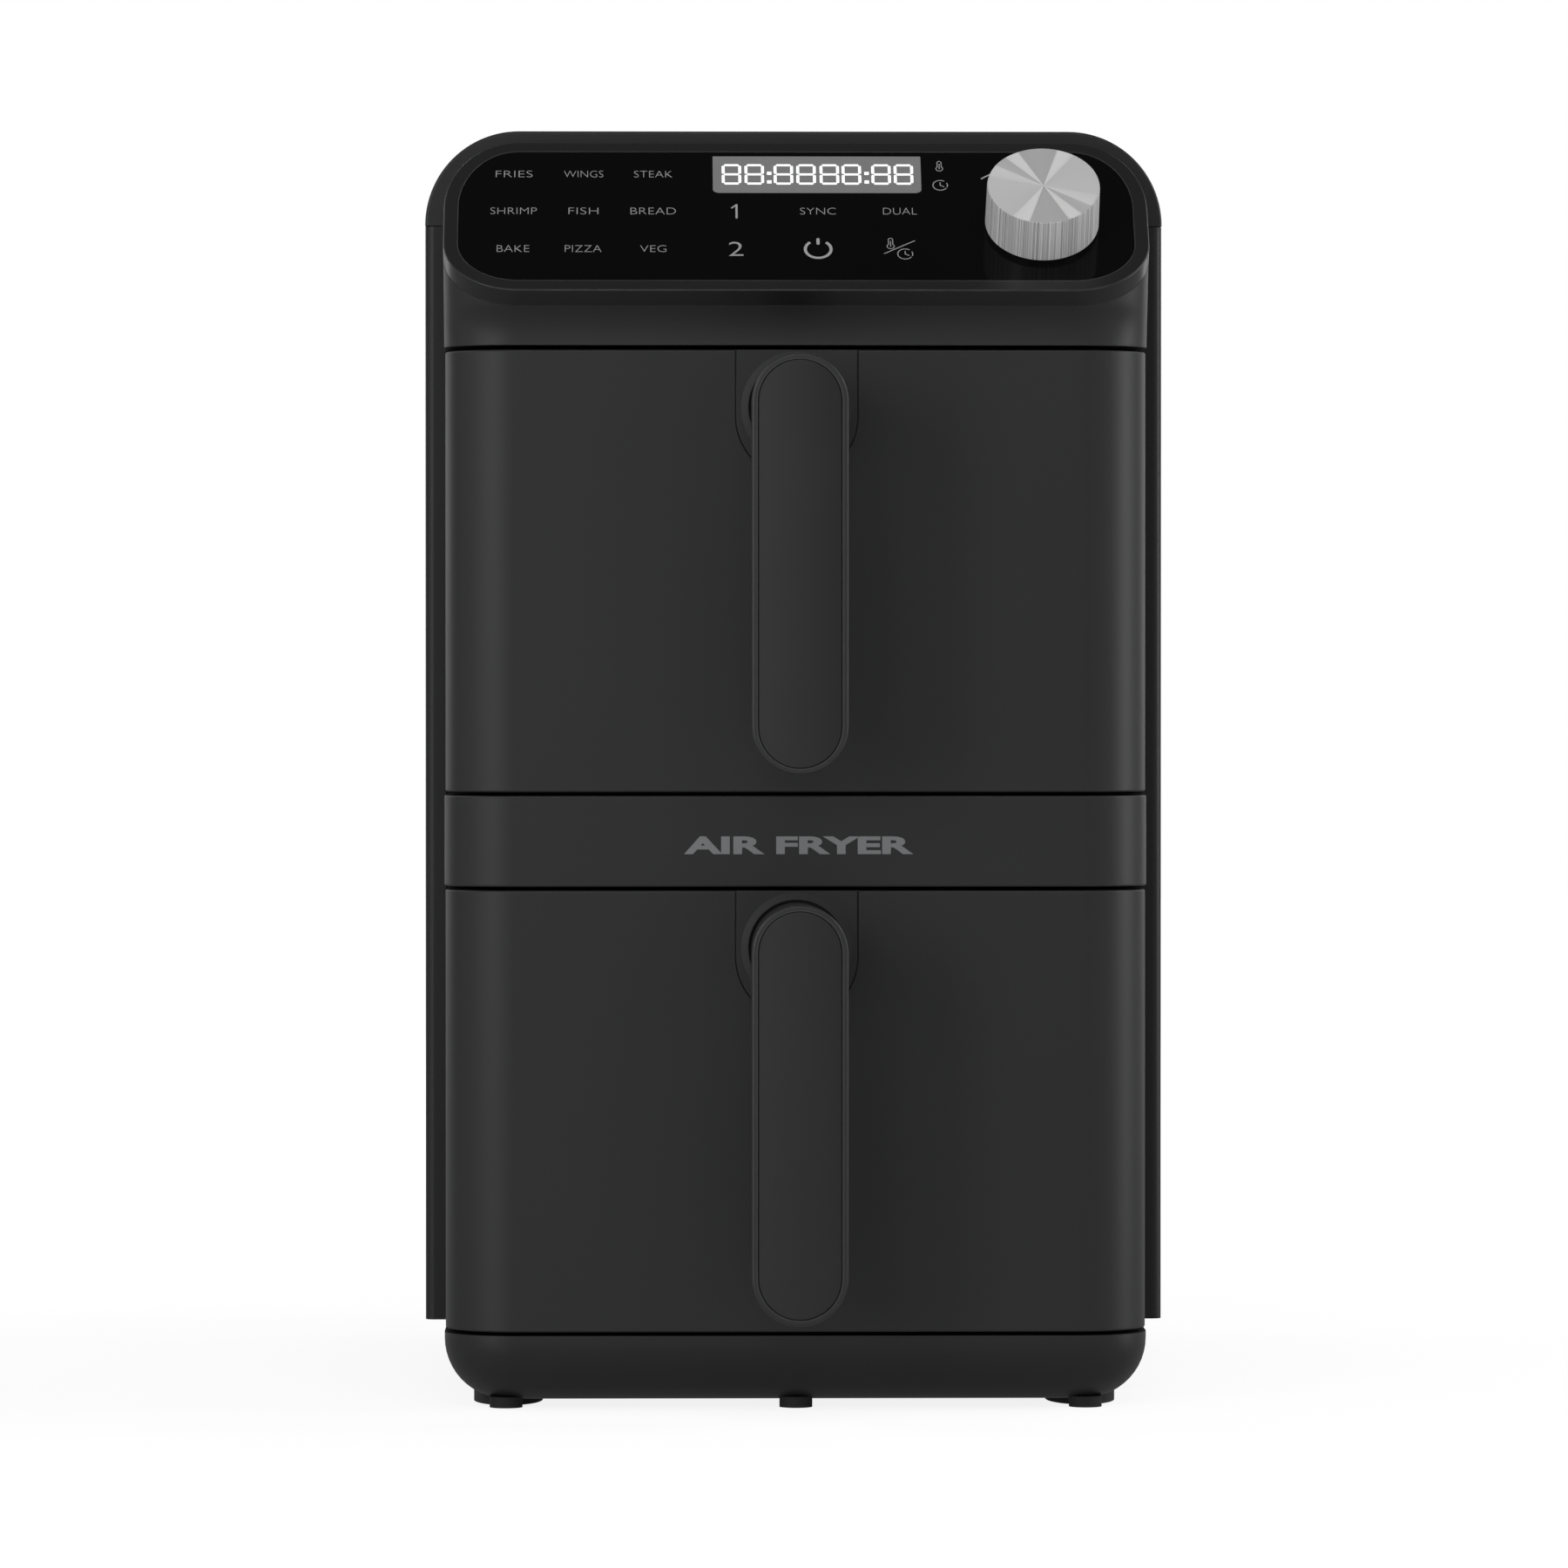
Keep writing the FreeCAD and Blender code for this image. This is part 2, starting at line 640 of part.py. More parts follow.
def power_board():
    """Power supply board with its tall parts, on posts beside the lower motor."""
    board_y = CAVITY_REAR + 9.0
    sheet = 1.6
    x_range = (-100.0, -40.0)
    z_range = (44.0, 144.0)
    board = box(x_range, (board_y, board_y + sheet), z_range)
    parts = [
        box((-96.0, -70.0), (board_y + sheet, board_y + 19.0), (112.0, 138.0)),
        box((-62.0, -46.0), (board_y + sheet, board_y + 14.0), (110.0, 138.0)),
        box((-96.0, -80.0), (board_y + sheet, board_y + 12.0), (84.0, 104.0)),
        box((-72.0, -46.0), (board_y + sheet, board_y + 8.0), (52.0, 60.0)),
        rod(6.0, (-88.0, board_y + sheet, 64.0), (-88.0, board_y + 18.0, 64.0)),
        rod(4.0, (-56.0, board_y + sheet, 90.0), (-56.0, board_y + 15.0, 90.0)),
    ]
    posts = [
        rod(2.5, (x, CAVITY_REAR, z), (x, board_y, z))
        for x in (-96.0, -44.0) for z in (48.0, 140.0)
    ]
    return board.fuse([*parts, *posts])


# --- One drawer, placed by its lower edge ------------------------------------------------
def handle_span(level):
    """Lowest and highest points of the handle on the drawer at this level."""
    return level + HANDLE_BOTTOM_GAP, level + DRAWER_HEIGHT - HANDLE_TOP_GAP


def stem_height(level):
    """Height of the handle's stem, on the centre of the grip's upper round end."""
    return handle_span(level)[1] - HANDLE_WIDTH / 2


def escutcheon_outline(level, half_width, depth):
    """Plate that hangs from the drawer's upper edge and ends in a half circle."""
    top = level + DRAWER_HEIGHT
    centre = top - ESCUTCHEON_STRAIGHT
    straight = box((-half_width, half_width), depth, (centre, top))
    end = rod(half_width, (0, depth[0], centre), (0, depth[1], centre))
    return straight.fuse(end).removeSplitter()


def handle_screws(level):
    """Two screws from inside the drawer front into the stem of the handle."""
    seat = FRONT_FACE + DRAWER_WALL
    screws = []
    for x in (-6.5, 6.5):
        head = rod(3.6, (x, seat, stem_height(level)), (x, seat + 2.4, stem_height(level)))
        shank = rod(2.0, (x, seat - 20.0, stem_height(level)), (x, seat, stem_height(level)))
        screws.append(head.fuse(shank).removeSplitter())
    return group(screws)


def drawer_front(level):
    """Hollow plastic front with round upright corners, open at the back."""
    top = level + DRAWER_HEIGHT
    rear = LINER_REAR
    outer = rounded_block(
        (-HALF_DRAWER, HALF_DRAWER), (FRONT_FACE, rear), (level, top), CORNER_RADIUS, 0.0
    )
    inner_half = HALF_DRAWER - DRAWER_WALL
    inner = rounded_block(
        (-inner_half, inner_half), (FRONT_FACE + DRAWER_WALL, rear + 1),
        (level + DRAWER_WALL, top - DRAWER_WALL), CORNER_RADIUS - DRAWER_WALL, 0.0,
    )
    pocket = escutcheon_outline(
        level, ESCUTCHEON_HALF + ESCUTCHEON_GROOVE, (FRONT_FACE - 1, FRONT_FACE + DRAWER_WALL)
    )
    keep = box((-60, 60), (FRONT_FACE - 2, rear), (top - DRAWER_WALL - 0.2, top + 1))
    return outer.cut([inner, pocket.cut(keep)])


def handle_plate(level):
    """Inset plate behind the handle, with a shallow round dish at the stem."""
    depth = (FRONT_FACE, FRONT_FACE + DRAWER_WALL)
    top = level + DRAWER_HEIGHT
    plate = escutcheon_outline(level, ESCUTCHEON_HALF, depth)
    trim = box((-60, 60), (FRONT_FACE - 2, LINER_REAR), (top - DRAWER_WALL - 0.2, top + 1))
    dish = rod(
        DISH_RADIUS, (0, FRONT_FACE - 1, stem_height(level)),
        (0, FRONT_FACE + DISH_DEPTH, stem_height(level)),
    )
    return plate.cut([trim, dish, handle_screws(level)])


def handle(level):
    """Long grip with full round ends, held by one stem near its top."""
    low, high = handle_span(level)
    back = HANDLE_FRONT + HANDLE_DEPTH
    grip = stadium(HANDLE_WIDTH, low, high, (HANDLE_FRONT, back))
    back_edges = [
        edge for edge in grip.Edges
        if abs(edge.BoundBox.YMin - back) < 0.01 and abs(edge.BoundBox.YMax - back) < 0.01
    ]
    grip = grip.makeFillet(HANDLE_ROUND, back_edges)
    stem_z = stem_height(level)
    stem = rod(STEM_RADIUS, (0, back - 2, stem_z), (0, FRONT_FACE + DISH_DEPTH, stem_z))
    margin = (HANDLE_WIDTH - INLAY_WIDTH) / 2
    recess = stadium(
        INLAY_WIDTH, low + margin, high - margin, (HANDLE_FRONT - 1, HANDLE_FRONT + INLAY_SHEET)
    )
    return grip.fuse(stem).cut([recess, handle_screws(level)])


def handle_inlay(level):
    """Satin strip let into the front of the grip."""
    low, high = handle_span(level)
    margin = (HANDLE_WIDTH - INLAY_WIDTH) / 2
    sunk = 0.2
    return stadium(
        INLAY_WIDTH, low + margin, high - margin, (HANDLE_FRONT + sunk, HANDLE_FRONT + INLAY_SHEET)
    )


def drawer_liner(level):
    """Plate that closes the back of the drawer front and carries the pan."""
    gap = 0.2
    half = HALF_DRAWER - DRAWER_WALL - gap
    return box(
        (-half, half), (LINER_REAR - LINER_SHEET, LINER_REAR),
        (level + DRAWER_WALL + gap, level + DRAWER_HEIGHT - DRAWER_WALL - gap),
    )


def pan(level):
    """Deep coated steel pan with round corners and a rolled rim that rides the rails."""
    bottom = level + PAN_LIFT
    rim = rim_height(level)
    corner = PAN_CORNER
    outer = rounded_block(
        (-PAN_HALF, PAN_HALF), (LINER_REAR, PAN_REAR), (bottom, rim), corner, corner
    )
    outer = fillet_level(outer, PAN_FLOOR_FILLET, bottom)
    inner_half = PAN_HALF - PAN_WALL
    inner = rounded_block(
        (-inner_half, inner_half), (LINER_REAR + PAN_WALL, PAN_REAR - PAN_WALL),
        (bottom + PAN_WALL, rim + 1), corner - PAN_WALL, corner - PAN_WALL,
    )
    inner = fillet_level(inner, PAN_FLOOR_FILLET - PAN_WALL, bottom + PAN_WALL)
    flange = rounded_block(
        (-PAN_HALF - PAN_RIM, PAN_HALF + PAN_RIM), (LINER_REAR, PAN_REAR + PAN_RIM),
        (rim - PAN_RIM_DEPTH, rim), corner + PAN_RIM, corner + PAN_RIM,
    )
    return outer.fuse(flange).cut(inner)


PLATE_HALF = PAN_HALF - PAN_WALL - 2.0
PLATE_Y = (LINER_REAR + PAN_WALL + 2.0, PAN_REAR - PAN_WALL - 2.0)
PLATE_CORNER = PAN_CORNER - PAN_WALL - 2.0
BUMPER_SPOTS = ((-1, -40.0), (-1, 72.0), (1, -40.0), (1, 72.0))


def plate_bumpers(level):
    """Four silicone clips on the edge of the crisper plate."""
    bottom = level + PAN_LIFT + PLATE_LIFT
    half_length = 8.0
    grip = 5.0
    reach = 1.6
    clips = []
    for side, y in BUMPER_SPOTS:
        edge = side * PLATE_HALF
        inner = edge - side * grip
        outer = edge + side * reach
        x_range = (min(inner, outer), max(inner, outer))
        clip = box(x_range, (y - half_length, y + half_length), (bottom - 3.0, bottom + 4.4))
        slot_x = (min(inner - side, edge), max(inner - side, edge))
        slot = box(slot_x, (y - half_length - 1, y + half_length + 1),
                   (bottom, bottom + PLATE_SHEET))
        clips.append(clip.cut(slot))
    return group(clips)


def crisper_plate(level):
    """Perforated plate that stands on four legs inside the pan."""
    bottom = level + PAN_LIFT + PLATE_LIFT
    sheet = rounded_block(
        (-PLATE_HALF, PLATE_HALF), PLATE_Y, (bottom, bottom + PLATE_SHEET),
        PLATE_CORNER, PLATE_CORNER,
    )
    floor = level + PAN_LIFT + PAN_WALL
    legs = [
        rod(3.0, (x, y, floor), (x, y, bottom + 0.5)) for x in (-60, 60) for y in (-45, 78)
    ]
    middle_y = (PLATE_Y[0] + PLATE_Y[1]) / 2
    holes = []
    for column in range(-5, 6):
        for row in range(-5, 6):
            x = column * 16.0
            y = middle_y + row * 16.0
            if abs(x) == 64.0 and abs(row) == 4:
                continue
            holes.append(rod(3.4, (x, y, bottom - 1), (x, y, bottom + PLATE_SHEET + 1)))
    return sheet.cut(holes).fuse(legs)


# --- Control head, drawn flat and then laid on the 45 degree slope -----------------------
def on_slope(shape):
    """Carry a shape drawn flat, with Y up the slope and Z out of it, to its place."""
    placed = shape.copy()
    placed.Placement = SLAB_FRAME.multiply(placed.Placement)
    return placed


def slab_outline(inset, height):
    """Outline of the panel, drawn flat, set in from the rim by inset."""
    low = (SLAB_LOWER_CORNER[0] - inset, SLAB_LOWER_CORNER[1] - inset)
    high = (SLAB_UPPER_CORNER[0] - inset, SLAB_UPPER_CORNER[1] - inset)
    return rounded_wire(
        (inset - HALF_FRONT, HALF_FRONT - inset), (inset, SLAB_LENGTH - inset), low, high, height
    )


def slab_layer(inset, bottom, top):
    """Flat slice of the panel between two heights."""
    return Part.Face(slab_outline(inset, bottom)).extrude(Vector(0, 0, top - bottom))


def control_bezel():
    """Frame round the control glass, with a ledge that the glass is bonded to."""
    ledge = 1.2
    frame = slab_layer(0, -SLAB_THICK, 0)
    seat = slab_layer(SLAB_RIM, -GLASS_THICK, 1)
    opening = slab_layer(SLAB_RIM + ledge, -SLAB_THICK - 1, 1)
    return on_slope(frame.cut([seat, opening]))


def touch_panel():
    """Black glass with its touch sensors behind it and a hole for the dial's shaft."""
    gap = 0.15
    sunk = 0.2
    glass = slab_layer(SLAB_RIM + gap, -GLASS_THICK, -sunk)
    hole = rod(4.2, (DIAL_X, DIAL_V, -GLASS_THICK - 1), (DIAL_X, DIAL_V, 1))
    return on_slope(glass.cut(hole))


def display_module():
    """Block of seven-segment digits behind the glass."""
    width, height = DISPLAY_SIZE
    return on_slope(box(
        (DISPLAY_X - width / 2, DISPLAY_X + width / 2),
        (DISPLAY_V - height / 2, DISPLAY_V + height / 2),
        (-CONTROL_BOARD_TOP, -GLASS_THICK),
    ))


def control_board():
    """Circuit board under the panel."""
    sheet = 1.6
    board = box((-88, 96), (9, 60), (-CONTROL_BOARD_TOP - sheet, -CONTROL_BOARD_TOP))
    chip = box((-50, -36), (24, 38), (-CONTROL_BOARD_TOP, -CONTROL_BOARD_TOP + 1.4))
    socket = box((-84, -70), (14, 20), (-CONTROL_BOARD_TOP, -CONTROL_BOARD_TOP + 4.0))
    hole = box(
        (DIAL_X - ENCODER_HALF, DIAL_X + ENCODER_HALF),
        (DIAL_V - ENCODER_HALF, DIAL_V + ENCODER_HALF),
        (-CONTROL_BOARD_TOP - 3, -CONTROL_BOARD_TOP + 1),
    )
    return on_slope(board.fuse([chip, socket]).cut(hole))


def encoder_body():
    """Housing of the rotary encoder, with its threaded neck in the hole of the glass."""
    block = box(
        (DIAL_X - ENCODER_HALF, DIAL_X + ENCODER_HALF),
        (DIAL_V - ENCODER_HALF, DIAL_V + ENCODER_HALF),
        (-CONTROL_BOARD_TOP - 2.0, -GLASS_THICK - 0.2),
    )
    neck = rod(4.0, (DIAL_X, DIAL_V, -GLASS_THICK - 1), (DIAL_X, DIAL_V, -0.2))
    tunnel = rod(STEM_SHAFT + SHAFT_CLEARANCE, (DIAL_X, DIAL_V, ENCODER_FLOOR), (DIAL_X, DIAL_V, 1))
    return on_slope(block.fuse(neck).cut(tunnel))


def dial_stem():
    """Steel shaft of the encoder: it slides in when the dial is pressed."""
    return on_slope(rod(STEM_SHAFT, (DIAL_X, DIAL_V, ENCODER_FLOOR + 1.5), (DIAL_X, DIAL_V, STEM_TOP)))


def dial():
    """Turned aluminium dial with a blind bore for the shaft and a hollow underside."""
    body = Part.makeCone(
        DIAL_RADIUS, DIAL_TOP_RADIUS, DIAL_TOP - DIAL_GAP, Vector(DIAL_X, DIAL_V, DIAL_GAP),
        Vector(0, 0, 1),
    )
    upper = [edge for edge in body.Edges if edge.BoundBox.ZMin > DIAL_TOP - 0.01]
    body = body.makeFillet(0.8, upper)
    hollow = rod(DIAL_RADIUS - 3.0, (DIAL_X, DIAL_V, DIAL_GAP - 1), (DIAL_X, DIAL_V, DIAL_GAP + 4))
    hub = rod(6.5, (DIAL_X, DIAL_V, DIAL_GAP - 2), (DIAL_X, DIAL_V, DIAL_GAP + 5))
    bore = rod(STEM_SHAFT + SHAFT_CLEARANCE, (DIAL_X, DIAL_V, 0), (DIAL_X, DIAL_V, STEM_TOP + 0.1))
    return on_slope(body.cut([hollow.cut(hub), bore]))


def head_loft(inset, lift, top):
    """Solid that runs from the underside of the panel down to the waist's outline."""
    upper = slab_outline(inset, top)
    upper.Placement = SLAB_FRAME.multiply(upper.Placement)
    front = (CORNER_RADIUS - inset, CORNER_RADIUS - inset)
    rear = (8.0, 8.0)
    lower = rounded_wire(
        (inset - HALF_FRONT, HALF_FRONT - inset), (FRONT_FACE + inset, FRAME_FRONT - inset),
        front, rear, HEAD_BOTTOM + lift,
    )
    return Part.makeLoft([lower, upper], True, True)


def head_housing():
    """Plastic housing that carries the panel, flaring out above the upper drawer."""
    outer = head_loft(0.0, 0.0, -SLAB_THICK)
    inner = head_loft(HEAD_WALL, HEAD_WALL, -SLAB_THICK + 0.2)
    cable_way = box((-55, 55), (FRAME_FRONT - 12, FRAME_FRONT + 1), (HEAD_BOTTOM + 9, HEAD_BOTTOM + 26))
    return outer.cut([inner, cable_way])


# --- Writing out -------------------------------------------------------------------------
def housing_nodes():
    """Every piece of the fixed body, by name."""
    nodes = {
        "base_tray": base_tray(),
        "front_feet": front_feet(),
        "base_pads": base_pads(),
        "base_screws": base_screws(),
        "right_side_panel": right_side_panel(),
        "left_side_panel": mirror_x(right_side_panel()),
        "top_cover": top_cover(),
        "front_frame": front_frame(),
        "rear_cover": rear_cover(),
        "rear_cover_screws": rear_cover_screws(),
        "cord_gland": cord_gland(),
        "waist_band": waist_band(),
        "head_housing": head_housing(),
        "control_bezel": control_bezel(),
        "touch_panel": touch_panel(),
        "display_module": display_module(),
        "control_board": control_board(),
        "encoder_body": encoder_body(),
        "temperature_sensors": temperature_sensors(),
        "power_board": power_board(),
        "drawer_switches": drawer_switches(),
    }
    makers = {
        "cavity": cavity,
        "heater": heater,
        "fan_guard": fan_guard,
        "fan_motor": motor,
        "runners": runners,
        "seal": upright_seal,
    }
    for side, level in DRAWER_BOTTOMS.items():
        for name, make in makers.items():
            nodes[f"{side}_{name}"] = make(level)
    return nodes


def moving_nodes():
    """Every piece of the drawers, the crisper plates, the fans and the dial, by name."""
    nodes = {"dial_stem": dial_stem(), "dial": dial()}
    makers = {
        "drawer_front": drawer_front,
        "drawer_liner": drawer_liner,
        "pan": pan,
        "handle_plate": handle_plate,
        "handle": handle,
        "handle_inlay": handle_inlay,
        "handle_screws": handle_screws,
        "crisper_plate": crisper_plate,
        "plate_bumpers": plate_bumpers,
        "impeller": impeller,
        "motor_shaft": motor_shaft,
        "cooling_fan": cooling_fan,
    }
    for side, level in DRAWER_BOTTOMS.items():
        for name, make in makers.items():
            nodes[f"{side}_{name}"] = make(level)
    return nodes


os.makedirs("parts", exist_ok=True)
for node, shape in {**housing_nodes(), **moving_nodes()}.items():
    shape.exportStep(f"parts/{node}.step")
    print(f"{node}: {len(shape.Solids)} solid(s), {shape.Volume / 1000:.1f} cm3, valid {shape.isValid()}")
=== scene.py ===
"""Stacked two-drawer air fryer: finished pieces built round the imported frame.

Lengths are in metres, in the frame's own axes: X to the right, Y to the back, Z up.
"""

import logging
import math
from dataclasses import dataclass
from enum import Enum
from typing import Callable, Iterable, Sequence

import bmesh
import bpy
from mathutils import Matrix, Vector


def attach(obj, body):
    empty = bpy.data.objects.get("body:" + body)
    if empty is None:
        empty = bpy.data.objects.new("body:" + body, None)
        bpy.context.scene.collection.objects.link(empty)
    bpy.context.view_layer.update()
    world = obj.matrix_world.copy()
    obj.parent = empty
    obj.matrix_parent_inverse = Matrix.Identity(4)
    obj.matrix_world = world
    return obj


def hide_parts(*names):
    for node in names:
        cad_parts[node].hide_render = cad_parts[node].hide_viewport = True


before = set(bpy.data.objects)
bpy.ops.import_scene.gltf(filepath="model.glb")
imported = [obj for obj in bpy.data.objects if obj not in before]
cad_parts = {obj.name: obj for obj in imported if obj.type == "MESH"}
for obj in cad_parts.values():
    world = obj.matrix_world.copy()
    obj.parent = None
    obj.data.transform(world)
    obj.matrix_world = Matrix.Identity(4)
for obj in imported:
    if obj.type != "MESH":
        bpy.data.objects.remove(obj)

LOG = logging.getLogger("air_fryer")
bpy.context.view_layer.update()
NODES: dict[str, bpy.types.Object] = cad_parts
MM = 0.001
SIDES = ("upper", "lower")
DRAWER_LEVELS = (194.3 * MM, 24.7 * MM)

Colour = tuple[float, float, float]
Span = tuple[float, float]


class Lay(Enum):
    """Direction in which a finish's fine marks run, as factors on its pattern's scale."""

    EVEN = (1.0, 1.0, 1.0)
    ALONG_X = (0.02, 1.0, 1.0)
    ALONG_Y = (1.0, 0.02, 1.0)
    ALONG_Z = (1.0, 1.0, 0.02)


class Axis(Enum):
    """The three axes, by their place in a vector."""

    X = 0
    Y = 1
    Z = 2


# --- Shader node groups ------------------------------------------------------------------
class Graph:
    """A node tree and short ways to add and join its nodes."""

    def __init__(self, tree: bpy.types.NodeTree) -> None:
        """Take the tree to work on."""
        self.tree = tree

    def node(self, kind: str, **settings: object) -> bpy.types.Node:
        """Add a node.

        Args:
            kind: Blender's name of the node type.
            **settings: attributes of the node to set.

        Returns:
            The new node.
        """
        made = self.tree.nodes.new(kind)
        for name, value in settings.items():
            setattr(made, name, value)
        return made

    def join(self, source: bpy.types.NodeSocket, target: bpy.types.NodeSocket) -> None:
        """Link an output to an input."""
        self.tree.links.new(source, target)

    def maths(self, operation: str, *values: object) -> bpy.types.NodeSocket:
        """Add a Math node.

        Args:
            operation: the node's operation.
            *values: numbers, or sockets to link, for its inputs in order.

        Returns:
            The node's output.
        """
        made = self.node("ShaderNodeMath", operation=operation)
        for place, value in enumerate(values):
            if isinstance(value, (int, float)):
                made.inputs[place].default_value = value
            else:
                self.join(value, made.inputs[place])
        return made.outputs[0]

    def blend(
        self, factor: bpy.types.NodeSocket, low: Colour, high: Colour
    ) -> bpy.types.NodeSocket:
        """Mix two colours.

        Args:
            factor: socket that chooses between them.
            low: colour where the factor is 0.
            high: colour where the factor is 1.

        Returns:
            The mixed colour.
        """
        made = self.node("ShaderNodeMix", data_type="RGBA")
        made.inputs["A"].default_value = (*low, 1.0)
        made.inputs["B"].default_value = (*high, 1.0)
        self.join(factor, made.inputs["Factor"])
        return made.outputs["Result"]


def open_group(
    name: str, inputs: Sequence[tuple[str, str, object]], outputs: Sequence[tuple[str, str]]
) -> tuple[Graph, bpy.types.Node, bpy.types.Node]:
    """Start a shader node group.

    Args:
        name: the group's name.
        inputs: name, socket type and default value of each input.
        outputs: name and socket type of each output.

    Returns:
        The group's graph, its input node and its output node.
    """
    tree = bpy.data.node_groups.new(name, "ShaderNodeTree")
    for label, kind, value in inputs:
        socket = tree.interface.new_socket(name=label, in_out="INPUT", socket_type=kind)
        socket.default_value = value
    for label, kind in outputs:
        tree.interface.new_socket(name=label, in_out="OUTPUT", socket_type=kind)
    graph = Graph(tree)
    return graph, graph.node("NodeGroupInput"), graph.node("NodeGroupOutput")


def make_surface_marks() -> bpy.types.NodeTree:
    """Build the group that gives a surface its fine relief and its broad clouding.

    Returns:
        A group with inputs Scale, Stretch and Cloud Scale, and outputs Height and Cloud.
    """
    graph, given, result = open_group(
        "surface_marks",
        (
            ("Scale", "NodeSocketFloat", 1400.0),
            ("Stretch", "NodeSocketVector", (1.0, 1.0, 1.0)),
            ("Cloud Scale", "NodeSocketFloat", 18.0),
        ),
        (("Height", "NodeSocketFloat"), ("Cloud", "NodeSocketFloat")),
    )
    place = graph.node("ShaderNodeTexCoord").outputs["Object"]
    stretch = graph.node("ShaderNodeVectorMath", operation="MULTIPLY")
    graph.join(place, stretch.inputs[0])
    graph.join(given.outputs["Stretch"], stretch.inputs[1])
    fine = graph.node("ShaderNodeTexNoise")
    fine.inputs["Detail"].default_value = 2.0
    graph.join(stretch.outputs[0], fine.inputs["Vector"])
    graph.join(given.outputs["Scale"], fine.inputs["Scale"])
    broad = graph.node("ShaderNodeTexNoise")
    broad.inputs["Detail"].default_value = 4.0
    graph.join(place, broad.inputs["Vector"])
    graph.join(given.outputs["Cloud Scale"], broad.inputs["Scale"])
    graph.join(fine.outputs["Fac"], result.inputs["Height"])
    graph.join(broad.outputs["Fac"], result.inputs["Cloud"])
    return graph.tree


def make_edge_wear_and_highlight_mask() -> bpy.types.NodeTree:
    """Build the group that finds edges to lighten: rubbed wear on some finishes, a painted edge
    highlight on others.

    Returns:
        A group with inputs Width and Amount, and output Mask, which is 1 on an edge to lighten.
    """
    graph, given, result = open_group(
        "edge_wear_and_highlight_mask",
        (("Width", "NodeSocketFloat", 0.0006), ("Amount", "NodeSocketFloat", 0.5)),
        (("Mask", "NodeSocketFloat"),),
    )
    rounded = graph.node("ShaderNodeBevel", samples=4)
    graph.join(given.outputs["Width"], rounded.inputs["Radius"])
    facing = graph.node("ShaderNodeNewGeometry")
    alike = graph.node("ShaderNodeVectorMath", operation="DOT_PRODUCT")
    graph.join(rounded.outputs[0], alike.inputs[0])
    graph.join(facing.outputs["Normal"], alike.inputs[1])
    bend = graph.maths("SUBTRACT", 1.0, alike.outputs["Value"])
    broken = graph.node("ShaderNodeTexNoise")
    broken.inputs["Scale"].default_value = 220.0
    graph.join(graph.node("ShaderNodeTexCoord").outputs["Object"], broken.inputs["Vector"])
    patchy = graph.maths("MULTIPLY", bend, broken.outputs["Fac"])
    strong = graph.maths("MULTIPLY", patchy, 14.0)
    mask = graph.node("ShaderNodeMath", operation="MULTIPLY", use_clamp=True)
    graph.join(strong, mask.inputs[0])
    graph.join(given.outputs["Amount"], mask.inputs[1])
    graph.join(mask.outputs[0], result.inputs["Mask"])
    return graph.tree


# Place round half a turn, and tone, of each light and each dark wedge of painted highlight on the
# turned face.
PAINTED_WEDGES = (
    (0.0, 0.55), (0.17, 0.5), (0.3, 0.45), (0.32, 0.9), (0.4, 1.0), (0.415, 0.12), (0.52, 0.16),
    (0.635, 0.1), (0.65, 0.95), (0.72, 0.9), (0.735, 0.2), (0.81, 0.28), (0.825, 0.85),
    (0.91, 0.7), (0.93, 0.55), (1.0, 0.55),
)


